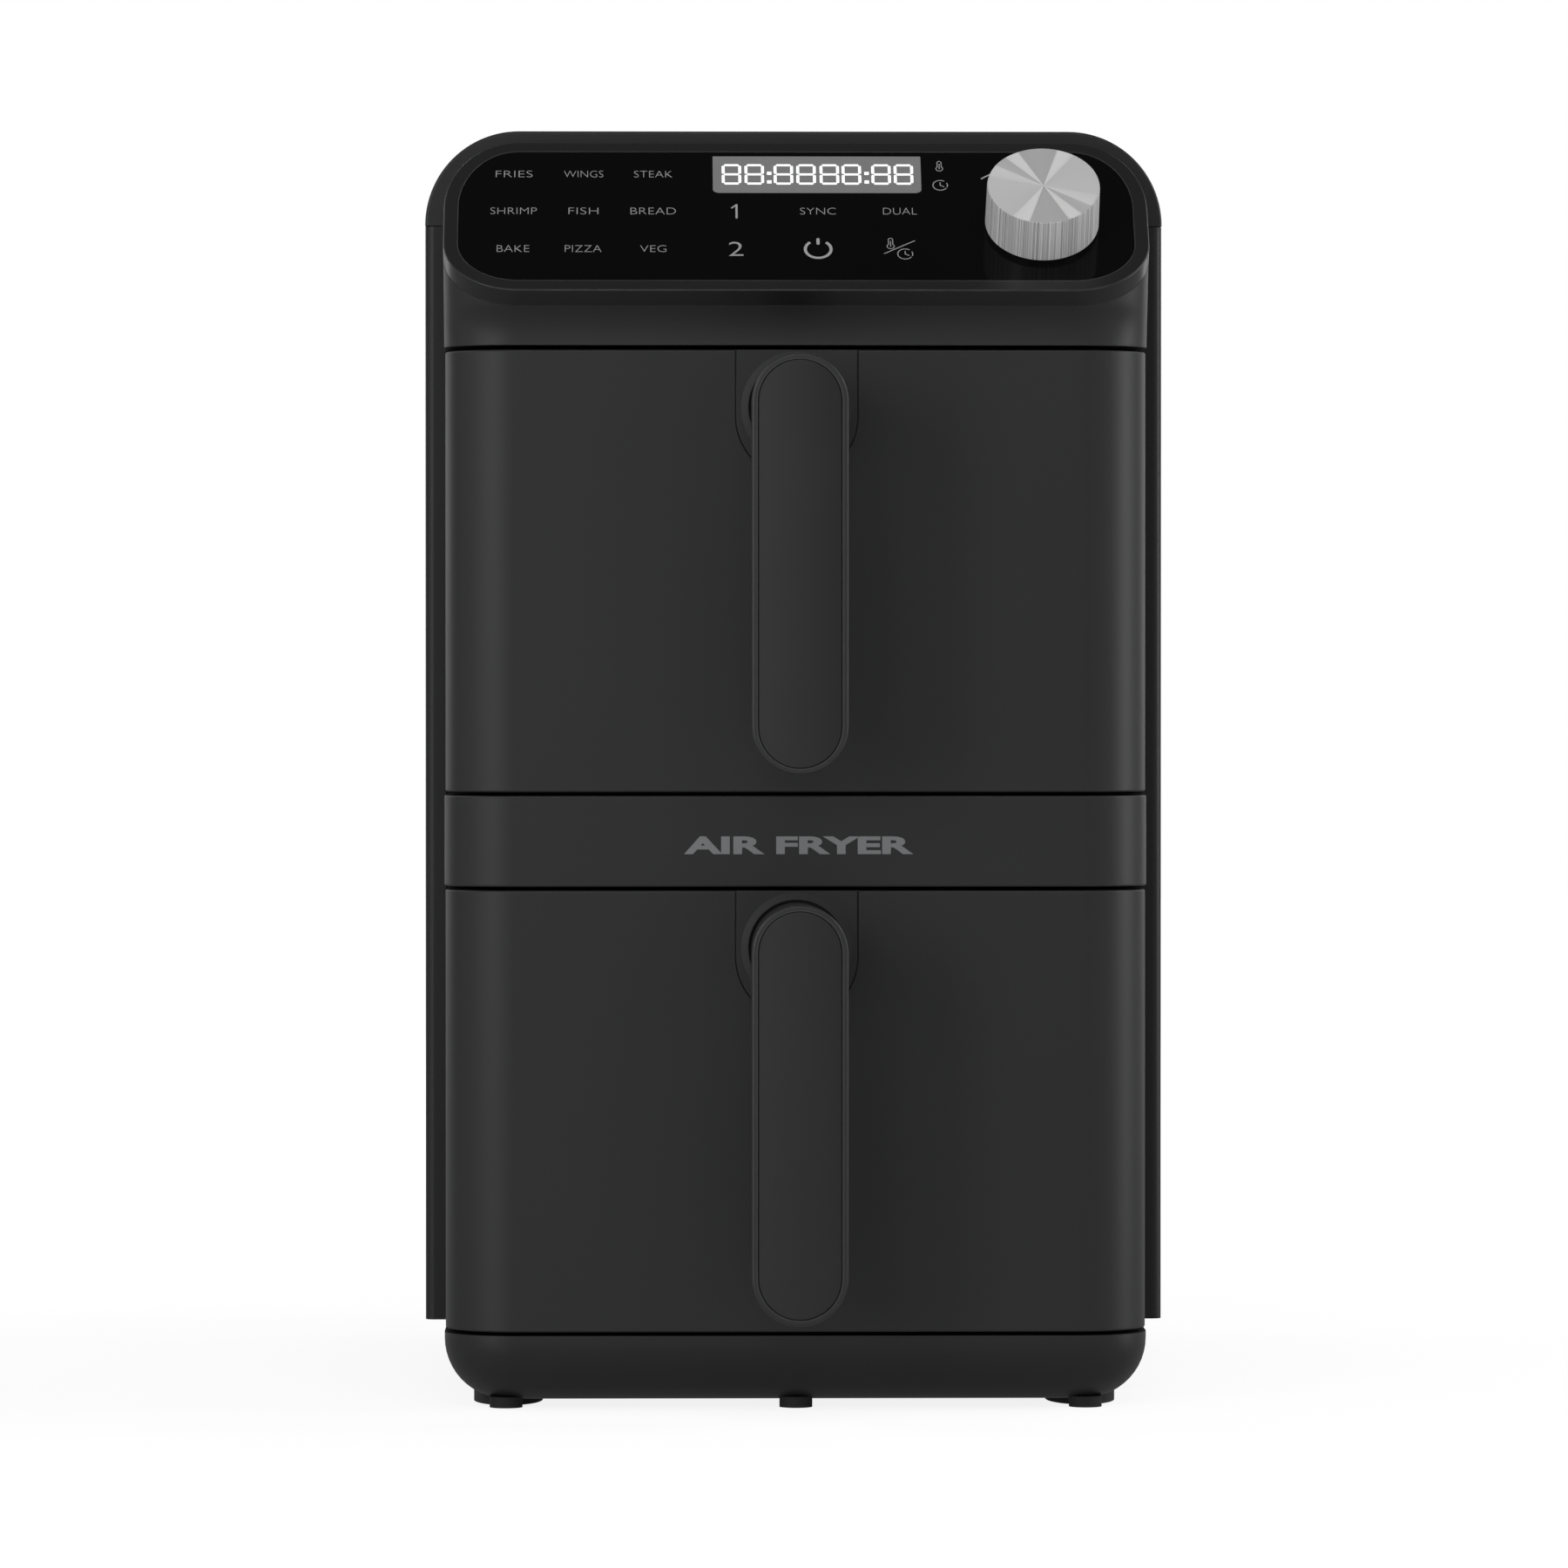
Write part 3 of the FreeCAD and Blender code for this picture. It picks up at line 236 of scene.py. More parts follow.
def make_turned_marks() -> bpy.types.NodeTree:
    """Build the group for lathe-turned metal, given a vector whose Z is the lathe's axis.

    Returns:
        A group with inputs Vector and Reach (radius of the face), and outputs Rings (relief of
        the tool's path), Rays (broad light and dark wedges of painted highlight), Grooves (upright
        scratches on the side) and Side, which is 1 on the side and 0 on the face.
    """
    graph, given, result = open_group(
        "turned_marks",
        (("Vector", "NodeSocketVector", (0.0, 0.0, 0.0)), ("Reach", "NodeSocketFloat", 0.0174)),
        tuple((label, "NodeSocketFloat") for label in ("Rings", "Rays", "Grooves", "Side")),
    )
    flat = graph.node("ShaderNodeVectorMath", operation="MULTIPLY")
    graph.join(given.outputs["Vector"], flat.inputs[0])
    flat.inputs[1].default_value = (1.0, 1.0, 0.0)
    radius = graph.node("ShaderNodeVectorMath", operation="LENGTH")
    graph.join(flat.outputs[0], radius.inputs[0])
    around = graph.node("ShaderNodeVectorMath", operation="NORMALIZE")
    graph.join(flat.outputs[0], around.inputs[0])
    rings = graph.node("ShaderNodeTexNoise", noise_dimensions="1D")
    rings.inputs["Scale"].default_value = 9000.0
    graph.join(radius.outputs["Value"], rings.inputs["W"])
    graph.join(rings.outputs["Fac"], result.inputs["Rings"])
    parts = graph.node("ShaderNodeSeparateXYZ")
    graph.join(flat.outputs[0], parts.inputs[0])
    angle = graph.maths("ARCTAN2", parts.outputs["Y"], parts.outputs["X"])
    half_turns = graph.maths("FRACT", graph.maths("MULTIPLY", angle, 1.0 / math.pi))
    # Painted highlight: light and dark wedges round the turn.
    wedges = graph.node("ShaderNodeValToRGB")
    ramp = wedges.color_ramp
    ramp.elements[0].position, ramp.elements[1].position = 0.0, 1.0
    for _ in PAINTED_WEDGES[1:-1]:
        ramp.elements.new(0.5)
    for element, (place, tone) in zip(ramp.elements, PAINTED_WEDGES):
        element.position, element.color = place, (tone, tone, tone, 1.0)
    graph.join(half_turns, wedges.inputs["Fac"])
    graph.join(wedges.outputs["Color"], result.inputs["Rays"])
    scored = graph.node("ShaderNodeTexNoise")
    scored.inputs["Scale"].default_value = 95.0
    scored.inputs["Detail"].default_value = 3.0
    graph.join(around.outputs[0], scored.inputs["Vector"])
    sharp = graph.node("ShaderNodeMapRange")
    sharp.inputs["From Min"].default_value, sharp.inputs["From Max"].default_value = 0.36, 0.62
    graph.join(scored.outputs["Fac"], sharp.inputs["Value"])
    graph.join(sharp.outputs["Result"], result.inputs["Grooves"])
    beyond = graph.maths("GREATER_THAN", radius.outputs["Value"], given.outputs["Reach"])
    graph.join(beyond, result.inputs["Side"])
    return graph.tree


SURFACE_MARKS = make_surface_marks()
EDGE_WEAR_AND_HIGHLIGHT_MASK = make_edge_wear_and_highlight_mask()
TURNED_MARKS = make_turned_marks()


# --- Finishes ----------------------------------------------------------------------------
def lighten(colour: Colour, share: float) -> Colour:
    """Return the colour scaled by a share, at most 1 in each channel."""
    return tuple(min(1.0, channel * share) for channel in colour)


def new_material(name: str) -> tuple[bpy.types.Material, Graph, bpy.types.Node]:
    """Start a material.

    Args:
        name: the material's name.

    Returns:
        The material, its graph and its Principled shader.
    """
    material = bpy.data.materials.new(name)
    material.use_nodes = True
    graph = Graph(material.node_tree)
    return material, graph, material.node_tree.nodes["Principled BSDF"]


@dataclass(frozen=True)
class Finish:
    """A finish with broad clouding in its colour and gloss, fine relief and lighter edges: rubbed
    wear on some finishes, a painted edge highlight on others.
    """

    name: str
    colour: Colour
    roughness: float
    metallic: float = 0.0
    lay: Lay = Lay.EVEN
    mark_scale: float = 1400.0
    relief: float = 0.02 * MM
    relief_strength: float = 0.35
    clouding: float = 0.1
    gloss_swing: float = 0.05
    cloud_scale: float = 16.0
    coat: float = 0.0
    specular: float = 0.5
    edge_wear_and_highlight_amount: float = 0.0
    edge_wear_and_highlight_colour: Colour = (0.5, 0.5, 0.5)

    def build(self) -> bpy.types.Material:
        """Make the material.

        Returns:
            A node material that reads Object coordinates only.
        """
        material, graph, shader = new_material(self.name)
        marks = graph.node("ShaderNodeGroup", node_tree=SURFACE_MARKS)
        marks.inputs["Scale"].default_value = self.mark_scale
        marks.inputs["Stretch"].default_value = self.lay.value
        marks.inputs["Cloud Scale"].default_value = self.cloud_scale
        cloud = marks.outputs["Cloud"]
        low = lighten(self.colour, 1.0 - self.clouding)
        high = lighten(self.colour, 1.0 + self.clouding)
        colour = graph.blend(cloud, low, high)
        # Lighter edges: rubbed wear on the pans, a painted edge highlight on the grip and the panel
        # frame.
        if self.edge_wear_and_highlight_amount > 0.0:
            colour = self.wear_and_highlight_edges(graph, colour)
        graph.join(colour, shader.inputs["Base Color"])
        swing = graph.maths("MULTIPLY_ADD", cloud, self.gloss_swing, self.roughness)
        graph.join(swing, shader.inputs["Roughness"])
        bump = graph.node("ShaderNodeBump")
        bump.inputs["Distance"].default_value = self.relief
        bump.inputs["Strength"].default_value = self.relief_strength
        graph.join(marks.outputs["Height"], bump.inputs["Height"])
        graph.join(bump.outputs["Normal"], shader.inputs["Normal"])
        shader.inputs["Metallic"].default_value = self.metallic
        shader.inputs["Coat Weight"].default_value = self.coat
        shader.inputs["Specular IOR Level"].default_value = self.specular
        return material

    def wear_and_highlight_edges(self, graph: Graph, colour: bpy.types.NodeSocket) -> bpy.types.NodeSocket:
        """Lighten the edges: rubbed wear on some finishes, a painted edge highlight on others.

        Args:
            graph: the material's graph.
            colour: the colour away from the edges.

        Returns:
            The colour with its edges lightened.
        """
        edge_mask = graph.node("ShaderNodeGroup", node_tree=EDGE_WEAR_AND_HIGHLIGHT_MASK)
        edge_mask.inputs["Amount"].default_value = self.edge_wear_and_highlight_amount
        over = graph.node("ShaderNodeMix", data_type="RGBA")
        over.inputs["B"].default_value = (*self.edge_wear_and_highlight_colour, 1.0)
        graph.join(edge_mask.outputs["Mask"], over.inputs["Factor"])
        graph.join(colour, over.inputs["A"])
        return over.outputs["Result"]


@dataclass(frozen=True)
class LitFinish:
    """Printed or lit marks that glow a little, with a faint clouding; on print and film the glow is
    painted light, on the display's figures it is the display's own light.
    """

    name: str
    colour: Colour
    glow: float
    roughness: float = 0.4

    def build(self) -> bpy.types.Material:
        """Make the material.

        Returns:
            A node material with the glow on its own colour.
        """
        material, graph, shader = new_material(self.name)
        marks = graph.node("ShaderNodeGroup", node_tree=SURFACE_MARKS)
        marks.inputs["Cloud Scale"].default_value = 300.0
        colour = graph.blend(marks.outputs["Cloud"], lighten(self.colour, 0.94), self.colour)
        graph.join(colour, shader.inputs["Base Color"])
        graph.join(colour, shader.inputs["Emission Color"])
        shader.inputs["Emission Strength"].default_value = self.glow
        shader.inputs["Roughness"].default_value = self.roughness
        return material


@dataclass(frozen=True)
class TurnedFinish:
    """Lathe-turned aluminium centred on the dial, with painted highlight wedges and painted shade
    in its rings and grooves, lifted by a faint painted glow of its own colour.
    """

    name: str
    colour: Colour
    centre: Vector
    tilt: float
    metallic: float = 0.2
    roughness: float = 0.32
    painted_dark_wedge: float = 0.54
    painted_groove_shade: float = 0.8
    painted_glow: float = 0.16
    relief: float = 0.02 * MM
    relief_strength: float = 0.6

    def build(self) -> bpy.types.Material:
        """Make the material.

        Returns:
            A node material with rings on the face, wedges of painted highlight, light and dark, and
            a scored side; painted shade darkens the hollows of rings and grooves, and a painted
            glow lifts it.
        """
        material, graph, shader = new_material(self.name)
        place = graph.node("ShaderNodeMapping", vector_type="TEXTURE")
        place.inputs["Location"].default_value = self.centre
        place.inputs["Rotation"].default_value = (self.tilt, 0.0, 0.0)
        graph.join(graph.node("ShaderNodeTexCoord").outputs["Object"], place.inputs["Vector"])
        marks = graph.node("ShaderNodeGroup", node_tree=TURNED_MARKS)
        graph.join(place.outputs[0], marks.inputs["Vector"])
        # Painted highlight: the rays' light and dark wedges; painted shade: the face darker in the
        # hollows of its rings.
        tone = graph.maths("MULTIPLY_ADD", marks.outputs["Rings"], 0.3, -0.15)
        tone = graph.maths("ADD", marks.outputs["Rays"], tone)
        face = graph.blend(tone, lighten(self.colour, self.painted_dark_wedge), self.colour)
        # Painted shade: the side darker in the hollows of its upright grooves.
        side = graph.blend(
            marks.outputs["Grooves"], lighten(self.colour, 1.0 - self.painted_groove_shade), self.colour
        )
        colour = graph.node("ShaderNodeMix", data_type="RGBA")
        graph.join(marks.outputs["Side"], colour.inputs["Factor"])
        graph.join(face, colour.inputs["A"])
        graph.join(side, colour.inputs["B"])
        graph.join(colour.outputs["Result"], shader.inputs["Base Color"])
        # Painted glow: the dial gives off light of its own colour.
        graph.join(colour.outputs["Result"], shader.inputs["Emission Color"])
        shader.inputs["Emission Strength"].default_value = self.painted_glow
        rings = graph.maths("MULTIPLY", marks.outputs["Rings"], 0.35)
        height = graph.maths("ADD", rings, marks.outputs["Grooves"])
        bump = graph.node("ShaderNodeBump")
        bump.inputs["Distance"].default_value = self.relief
        bump.inputs["Strength"].default_value = self.relief_strength
        graph.join(height, bump.inputs["Height"])
        graph.join(bump.outputs["Normal"], shader.inputs["Normal"])
        shader.inputs["Metallic"].default_value = self.metallic
        shader.inputs["Roughness"].default_value = self.roughness
        return material


# --- Modelling helpers -------------------------------------------------------------------
SHARP_BEND = math.radians(32.0)
MERGE = 1e-7
HAIR = 1e-6
NEAR = 1e-5


def flat_outline(
    x: Span, y: Span, low: tuple[float, float], high: tuple[float, float], segments: int = 14
) -> bmesh.types.BMesh:
    """Draw a flat rectangle with rounded corners in the XY plane.

    Args:
        x: its two sides.
        y: its lower and upper edges.
        low: reaches along X and Y of the two lower corners.
        high: the same for the two upper corners.
        segments: pieces in each corner.

    Returns:
        A bmesh with one face. Oval corners are drawn round and then stretched.
    """
    mesh = bmesh.new()
    bmesh.ops.create_grid(mesh, x_segments=1, y_segments=1, size=0.5)
    height = y[1] - y[0] + low[0] - low[1] + high[0] - high[1]
    middle = ((x[0] + x[1]) / 2, y[0] + height / 2, 0.0)
    bmesh.ops.scale(mesh, vec=(x[1] - x[0], height, 1.0), verts=mesh.verts)
    bmesh.ops.translate(mesh, vec=middle, verts=mesh.verts)
    for reach, lower in ((low[0], True), (high[0], False)):
        corners = [v for v in mesh.verts if (v.co.y < middle[1]) == lower and is_corner(v)]
        bmesh.ops.bevel(
            mesh, geom=corners, offset=reach, offset_type="OFFSET", affect="VERTICES",
            segments=segments, profile=0.5, material=-1,
        )
    for reach, edge, keep_low in ((low, y[0], True), (high, y[0] + height, False)):
        inner = edge + reach[0] if keep_low else edge - reach[0]
        moved = [
            v for v in mesh.verts
            if (v.co.y < inner) == keep_low and abs(v.co.y - inner) > MERGE
        ]
        factor = reach[1] / reach[0]
        bmesh.ops.scale(
            mesh, vec=(1.0, factor, 1.0), verts=moved, space=Matrix.Translation((0, -inner, 0))
        )
    lowest = min(v.co.y for v in mesh.verts)
    bmesh.ops.translate(mesh, vec=(0.0, y[0] - lowest, 0.0), verts=mesh.verts)
    return mesh


def is_corner(vertex: bmesh.types.BMVert) -> bool:
    """Return whether a vertex of a flat outline is still a square corner."""
    first, second = (edge.other_vert(vertex).co - vertex.co for edge in vertex.link_edges)
    return abs(first.normalized().dot(second.normalized())) < 1e-4


class Form:
    """A mesh being modelled, and the steps that finish it as a piece."""

    def __init__(self, mesh: bmesh.types.BMesh | None = None) -> None:
        """Start from an empty mesh, or from one already drawn."""
        self.mesh = mesh or bmesh.new()

    def block(self, x: Span, y: Span, z: Span) -> "Form":
        """Add a block between two values on each axis.

        Args:
            x: its two sides.
            y: its front and back.
            z: its bottom and top.

        Returns:
            The form itself, so that steps can follow each other.
        """
        made = bmesh.ops.create_cube(self.mesh, size=1.0)["verts"]
        size = (x[1] - x[0], y[1] - y[0], z[1] - z[0])
        middle = ((x[0] + x[1]) / 2, (y[0] + y[1]) / 2, (z[0] + z[1]) / 2)
        bmesh.ops.scale(self.mesh, vec=size, verts=made)
        bmesh.ops.translate(self.mesh, vec=middle, verts=made)
        return self

    def rod(self, radius: float, start: Vector, end: Vector, segments: int = 96) -> "Form":
        """Add a closed round rod.

        Args:
            radius: its radius.
            start: centre of one end.
            end: centre of the other end.
            segments: sides of its section.

        Returns:
            The form itself.
        """
        run = Vector(end) - Vector(start)
        made = bmesh.ops.create_cone(
            self.mesh, cap_ends=True, cap_tris=False, segments=segments,
            radius1=radius, radius2=radius, depth=run.length,
        )["verts"]
        turn = run.to_track_quat("Z", "Y").to_matrix()
        bmesh.ops.rotate(self.mesh, cent=(0, 0, 0), matrix=turn, verts=made)
        bmesh.ops.translate(self.mesh, vec=Vector(start) + run / 2, verts=made)
        return self

    def spin(self, profile: Sequence[Vector], axis: Axis, steps: int) -> "Form":
        """Add a round solid by turning a profile a full turn about an axis.

        Args:
            profile: points in order, the first and last of them on the axis.
            axis: the axis, through the origin.
            steps: sides of the solid.

        Returns:
            The form itself.
        """
        verts = [self.mesh.verts.new(point) for point in profile]
        edges = [self.mesh.edges.new(pair) for pair in zip(verts, verts[1:])]
        turn = Vector((0.0, 0.0, 0.0))
        turn[axis.value] = 1.0
        bmesh.ops.spin(
            self.mesh, geom=[*verts, *edges], cent=(0, 0, 0), axis=turn,
            angle=2 * math.pi, steps=steps, use_merge=True,
        )
        return self.outward()

    def raise_up(self, height: float) -> "Form":
        """Give a flat outline its thickness along Z.

        Args:
            height: how far its copy is lifted.

        Returns:
            The form itself.
        """
        faces = list(self.mesh.faces)
        lifted = bmesh.ops.extrude_face_region(self.mesh, geom=faces, use_keep_orig=True)["geom"]
        verts = [item for item in lifted if isinstance(item, bmesh.types.BMVert)]
        bmesh.ops.translate(self.mesh, vec=(0.0, 0.0, height), verts=verts)
        return self.outward()

    def outward(self) -> "Form":
        """Merge doubles and turn every face outwards.

        Returns:
            The form itself.
        """
        bmesh.ops.remove_doubles(self.mesh, verts=self.mesh.verts, dist=MERGE)
        bmesh.ops.recalc_face_normals(self.mesh, faces=self.mesh.faces)
        return self

    def edges_at(self, axis: Axis, value: float, tolerance: float = NEAR) -> list:
        """List the edges that lie wholly at one value of an axis.

        Args:
            axis: the axis.
            value: the plane's place on it.
            tolerance: how far off the plane an end may be.

        Returns:
            The edges.
        """
        return [
            edge for edge in self.mesh.edges
            if all(abs(vert.co[axis.value] - value) < tolerance for vert in edge.verts)
        ]

    def edges_along(self, axis: Axis, keep: Callable[[Vector], bool]) -> list:
        """List the edges that run along an axis and pass a test.

        Args:
            axis: the direction they run in.
            keep: test of an edge's middle.

        Returns:
            The edges.
        """
        found = []
        for edge in self.mesh.edges:
            first, second = (vert.co for vert in edge.verts)
            run = (second - first).normalized()
            if abs(abs(run[axis.value]) - 1.0) < 1e-4 and keep((first + second) / 2):
                found.append(edge)
        return found

    def bevel(self, edges: list, width: float, segments: int = 3) -> "Form":
        """Round edges.

        Args:
            edges: the edges.
            width: how far the rounding reaches.
            segments: pieces in it.

        Returns:
            The form itself.
        """
        bmesh.ops.bevel(
            self.mesh, geom=edges, offset=width, offset_type="OFFSET", affect="EDGES",
            segments=segments, profile=0.5, material=-1, clamp_overlap=True,
        )
        return self

    def rim(self, axis: Axis, value: float) -> list:
        """List the outline edges of the flat faces at one value of an axis.

        Args:
            axis: the axis.
            value: the place of the faces on it.

        Returns:
            The edges.
        """
        return [
            edge for edge in self.edges_at(axis, value)
            if edge.is_boundary
            or len({round(face.normal[axis.value], 3) for face in edge.link_faces}) > 1
        ]

    def place(self, matrix: Matrix) -> "Form":
        """Move the whole mesh.

        Args:
            matrix: the move.

        Returns:
            The form itself.
        """
        bmesh.ops.transform(self.mesh, matrix=matrix, verts=self.mesh.verts)
        return self

    def add(self, other: "Form") -> "Form":
        """Copy another form into this one.

        Args:
            other: the form to copy.

        Returns:
            The form itself.
        """
        copy = bpy.data.meshes.new("copy")
        other.mesh.to_mesh(copy)
        self.mesh.from_mesh(copy)
        bpy.data.meshes.remove(copy)
        return self

    def combine(self, operation: str, *others: "Form") -> "Form":
        """Cut other forms out of this one, or join them on.

        Args:
            operation: "DIFFERENCE", "UNION" or "INTERSECT".
            *others: closed forms.

        Returns:
            The form itself.
        """
        base = self.as_object("work")
        helpers = []
        for other in others:
            helper = other.as_object("helper")
            step = base.modifiers.new("step", "BOOLEAN")
            step.operation, step.solver, step.object = operation, "EXACT", helper
            helpers.append(helper)
        bpy.context.view_layer.update()
        solid = base.evaluated_get(bpy.context.evaluated_depsgraph_get()).to_mesh()
        self.mesh.clear()
        self.mesh.from_mesh(solid)
        for made in (base, *helpers):
            bpy.data.objects.remove(made)
        bmesh.ops.remove_doubles(self.mesh, verts=self.mesh.verts, dist=MERGE)
        bmesh.ops.dissolve_degenerate(self.mesh, dist=MERGE, edges=self.mesh.edges)
        return self

    def as_object(self, name: str) -> bpy.types.Object:
        """Put a copy of the mesh in the scene as an object.

        Args:
            name: the name of the object.

        Returns:
            The object.
        """
        data = bpy.data.meshes.new(name)
        self.mesh.to_mesh(data)
        made = bpy.data.objects.new(name, data)
        bpy.context.scene.collection.objects.link(made)
        return made

    def piece(
        self, name: str, body: str, slot: str, material: bpy.types.Material,
        stands_for: Sequence[str] = (), smooth: bool = True,
    ) -> bpy.types.Object:
        """Finish the mesh as a piece of the object.

        Args:
            name: the piece's name.
            body: the body that it rides on.
            slot: the record's material slot; not used.
            material: its finish.
            stands_for: CAD nodes that it is shown instead of.
            smooth: whether gentle bends are shaded smooth.

        Returns:
            The finished object.
        """
        for edge in self.mesh.edges:
            edge.smooth = len(edge.link_faces) == 2 and edge.calc_face_angle(0.0) < SHARP_BEND
        for face in self.mesh.faces:
            face.smooth = smooth
            face.material_index = 0
        made = self.as_object(name)
        made.data.materials.append(material)
        if smooth:
            even = made.modifiers.new("even_shading", "WEIGHTED_NORMAL")
            even.keep_sharp = True
        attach(made, body)
        if stands_for:
            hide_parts(*stands_for)
        LOG.info("piece %s: %d faces on %s", name, len(made.data.polygons), body)
        self.mesh.free()
        return made


def rounded_upright(
    x: Span, y: Span, z: Span, front_radius: float, rear_radius: float = 0.0
) -> Form:
    """Model a block with round upright corners.

    Args:
        x: its two sides.
        y: its front and back.
        z: its bottom and top.
        front_radius: radius of the two front corners.
        rear_radius: radius of the two rear corners, or 0 for square ones.

    Returns:
        A closed form.
    """
    form = Form().block(x, y, z)
    middle = (y[0] + y[1]) / 2
    form.bevel(form.edges_along(Axis.Z, lambda c: c.y < middle), front_radius, 20)
    if rear_radius > 0.0:
        form.bevel(form.edges_along(Axis.Z, lambda c: c.y > y[1] - NEAR), rear_radius, 14)
    return form.outward()


def hollow_front(
    half: float, depth: Span, levels: Span, corner: float, wall: float, edge: float, *cuts: Form
) -> Form:
    """Model a moulded front with round upright corners, softened rims and an open back.

    Args:
        half: half of its width.
        depth: its face and its back.
        levels: its bottom and top.
        corner: radius of its two front corners.
        wall: its thickness.
        edge: how far its lower and upper rims are softened.
        *cuts: more forms to cut out of it.

    Returns:
        A closed form.
    """
    (face, rear), (low, high) = depth, levels
    form = rounded_upright((-half, half), depth, levels, corner)
    for height in levels:
        outline = [
            item for item in form.rim(Axis.Z, height)
            if min(vert.co.y for vert in item.verts) < rear - NEAR
        ]
        form.bevel(outline, edge, 3)
    hollow = rounded_upright(
        (wall - half, half - wall), (face + wall, rear + MM), (low + wall, high - wall),
        corner - wall,
    )
    return form.combine("DIFFERENCE", hollow, *cuts)


def stadium(width: float, low: float, high: float, depth: Span, segments: int = 28) -> Form:
    """Model an upright plate with full round ends, centred on X.

    Args:
        width: across the plate.
        low: its lowest point.
        high: its highest point.
        depth: its front and back.
        segments: pieces in each quarter of the ends.

    Returns:
        A closed form.
    """
    radius = width / 2 - HAIR
    form = Form().block((-width / 2, width / 2), depth, (low, high))
    form.bevel(form.edges_along(Axis.Y, lambda c: True), radius, segments)
    bmesh.ops.remove_doubles(form.mesh, verts=form.mesh.verts, dist=NEAR)
    return form.outward()


# --- CAD nodes that are shown as they are --------------------------------------------------
def dress_node(name: str, material: bpy.types.Material) -> None:
    """Give a CAD node its finish and smooth shading on its round faces.

    Args:
        name: the node.
        material: its finish.
    """
    node = NODES[name]
    node.data.materials.clear()
    node.data.materials.append(material)
    node.data.polygons.foreach_set("use_smooth", [True] * len(node.data.polygons))
    weld = node.modifiers.new("weld", "WELD")
    weld.merge_threshold = HAIR
    split = node.modifiers.new("split", "EDGE_SPLIT")
    split.split_angle = SHARP_BEND
    even = node.modifiers.new("even_shading", "WEIGHTED_NORMAL")
    even.keep_sharp = True
    LOG.info("node %s: %d faces", name, len(node.data.polygons))


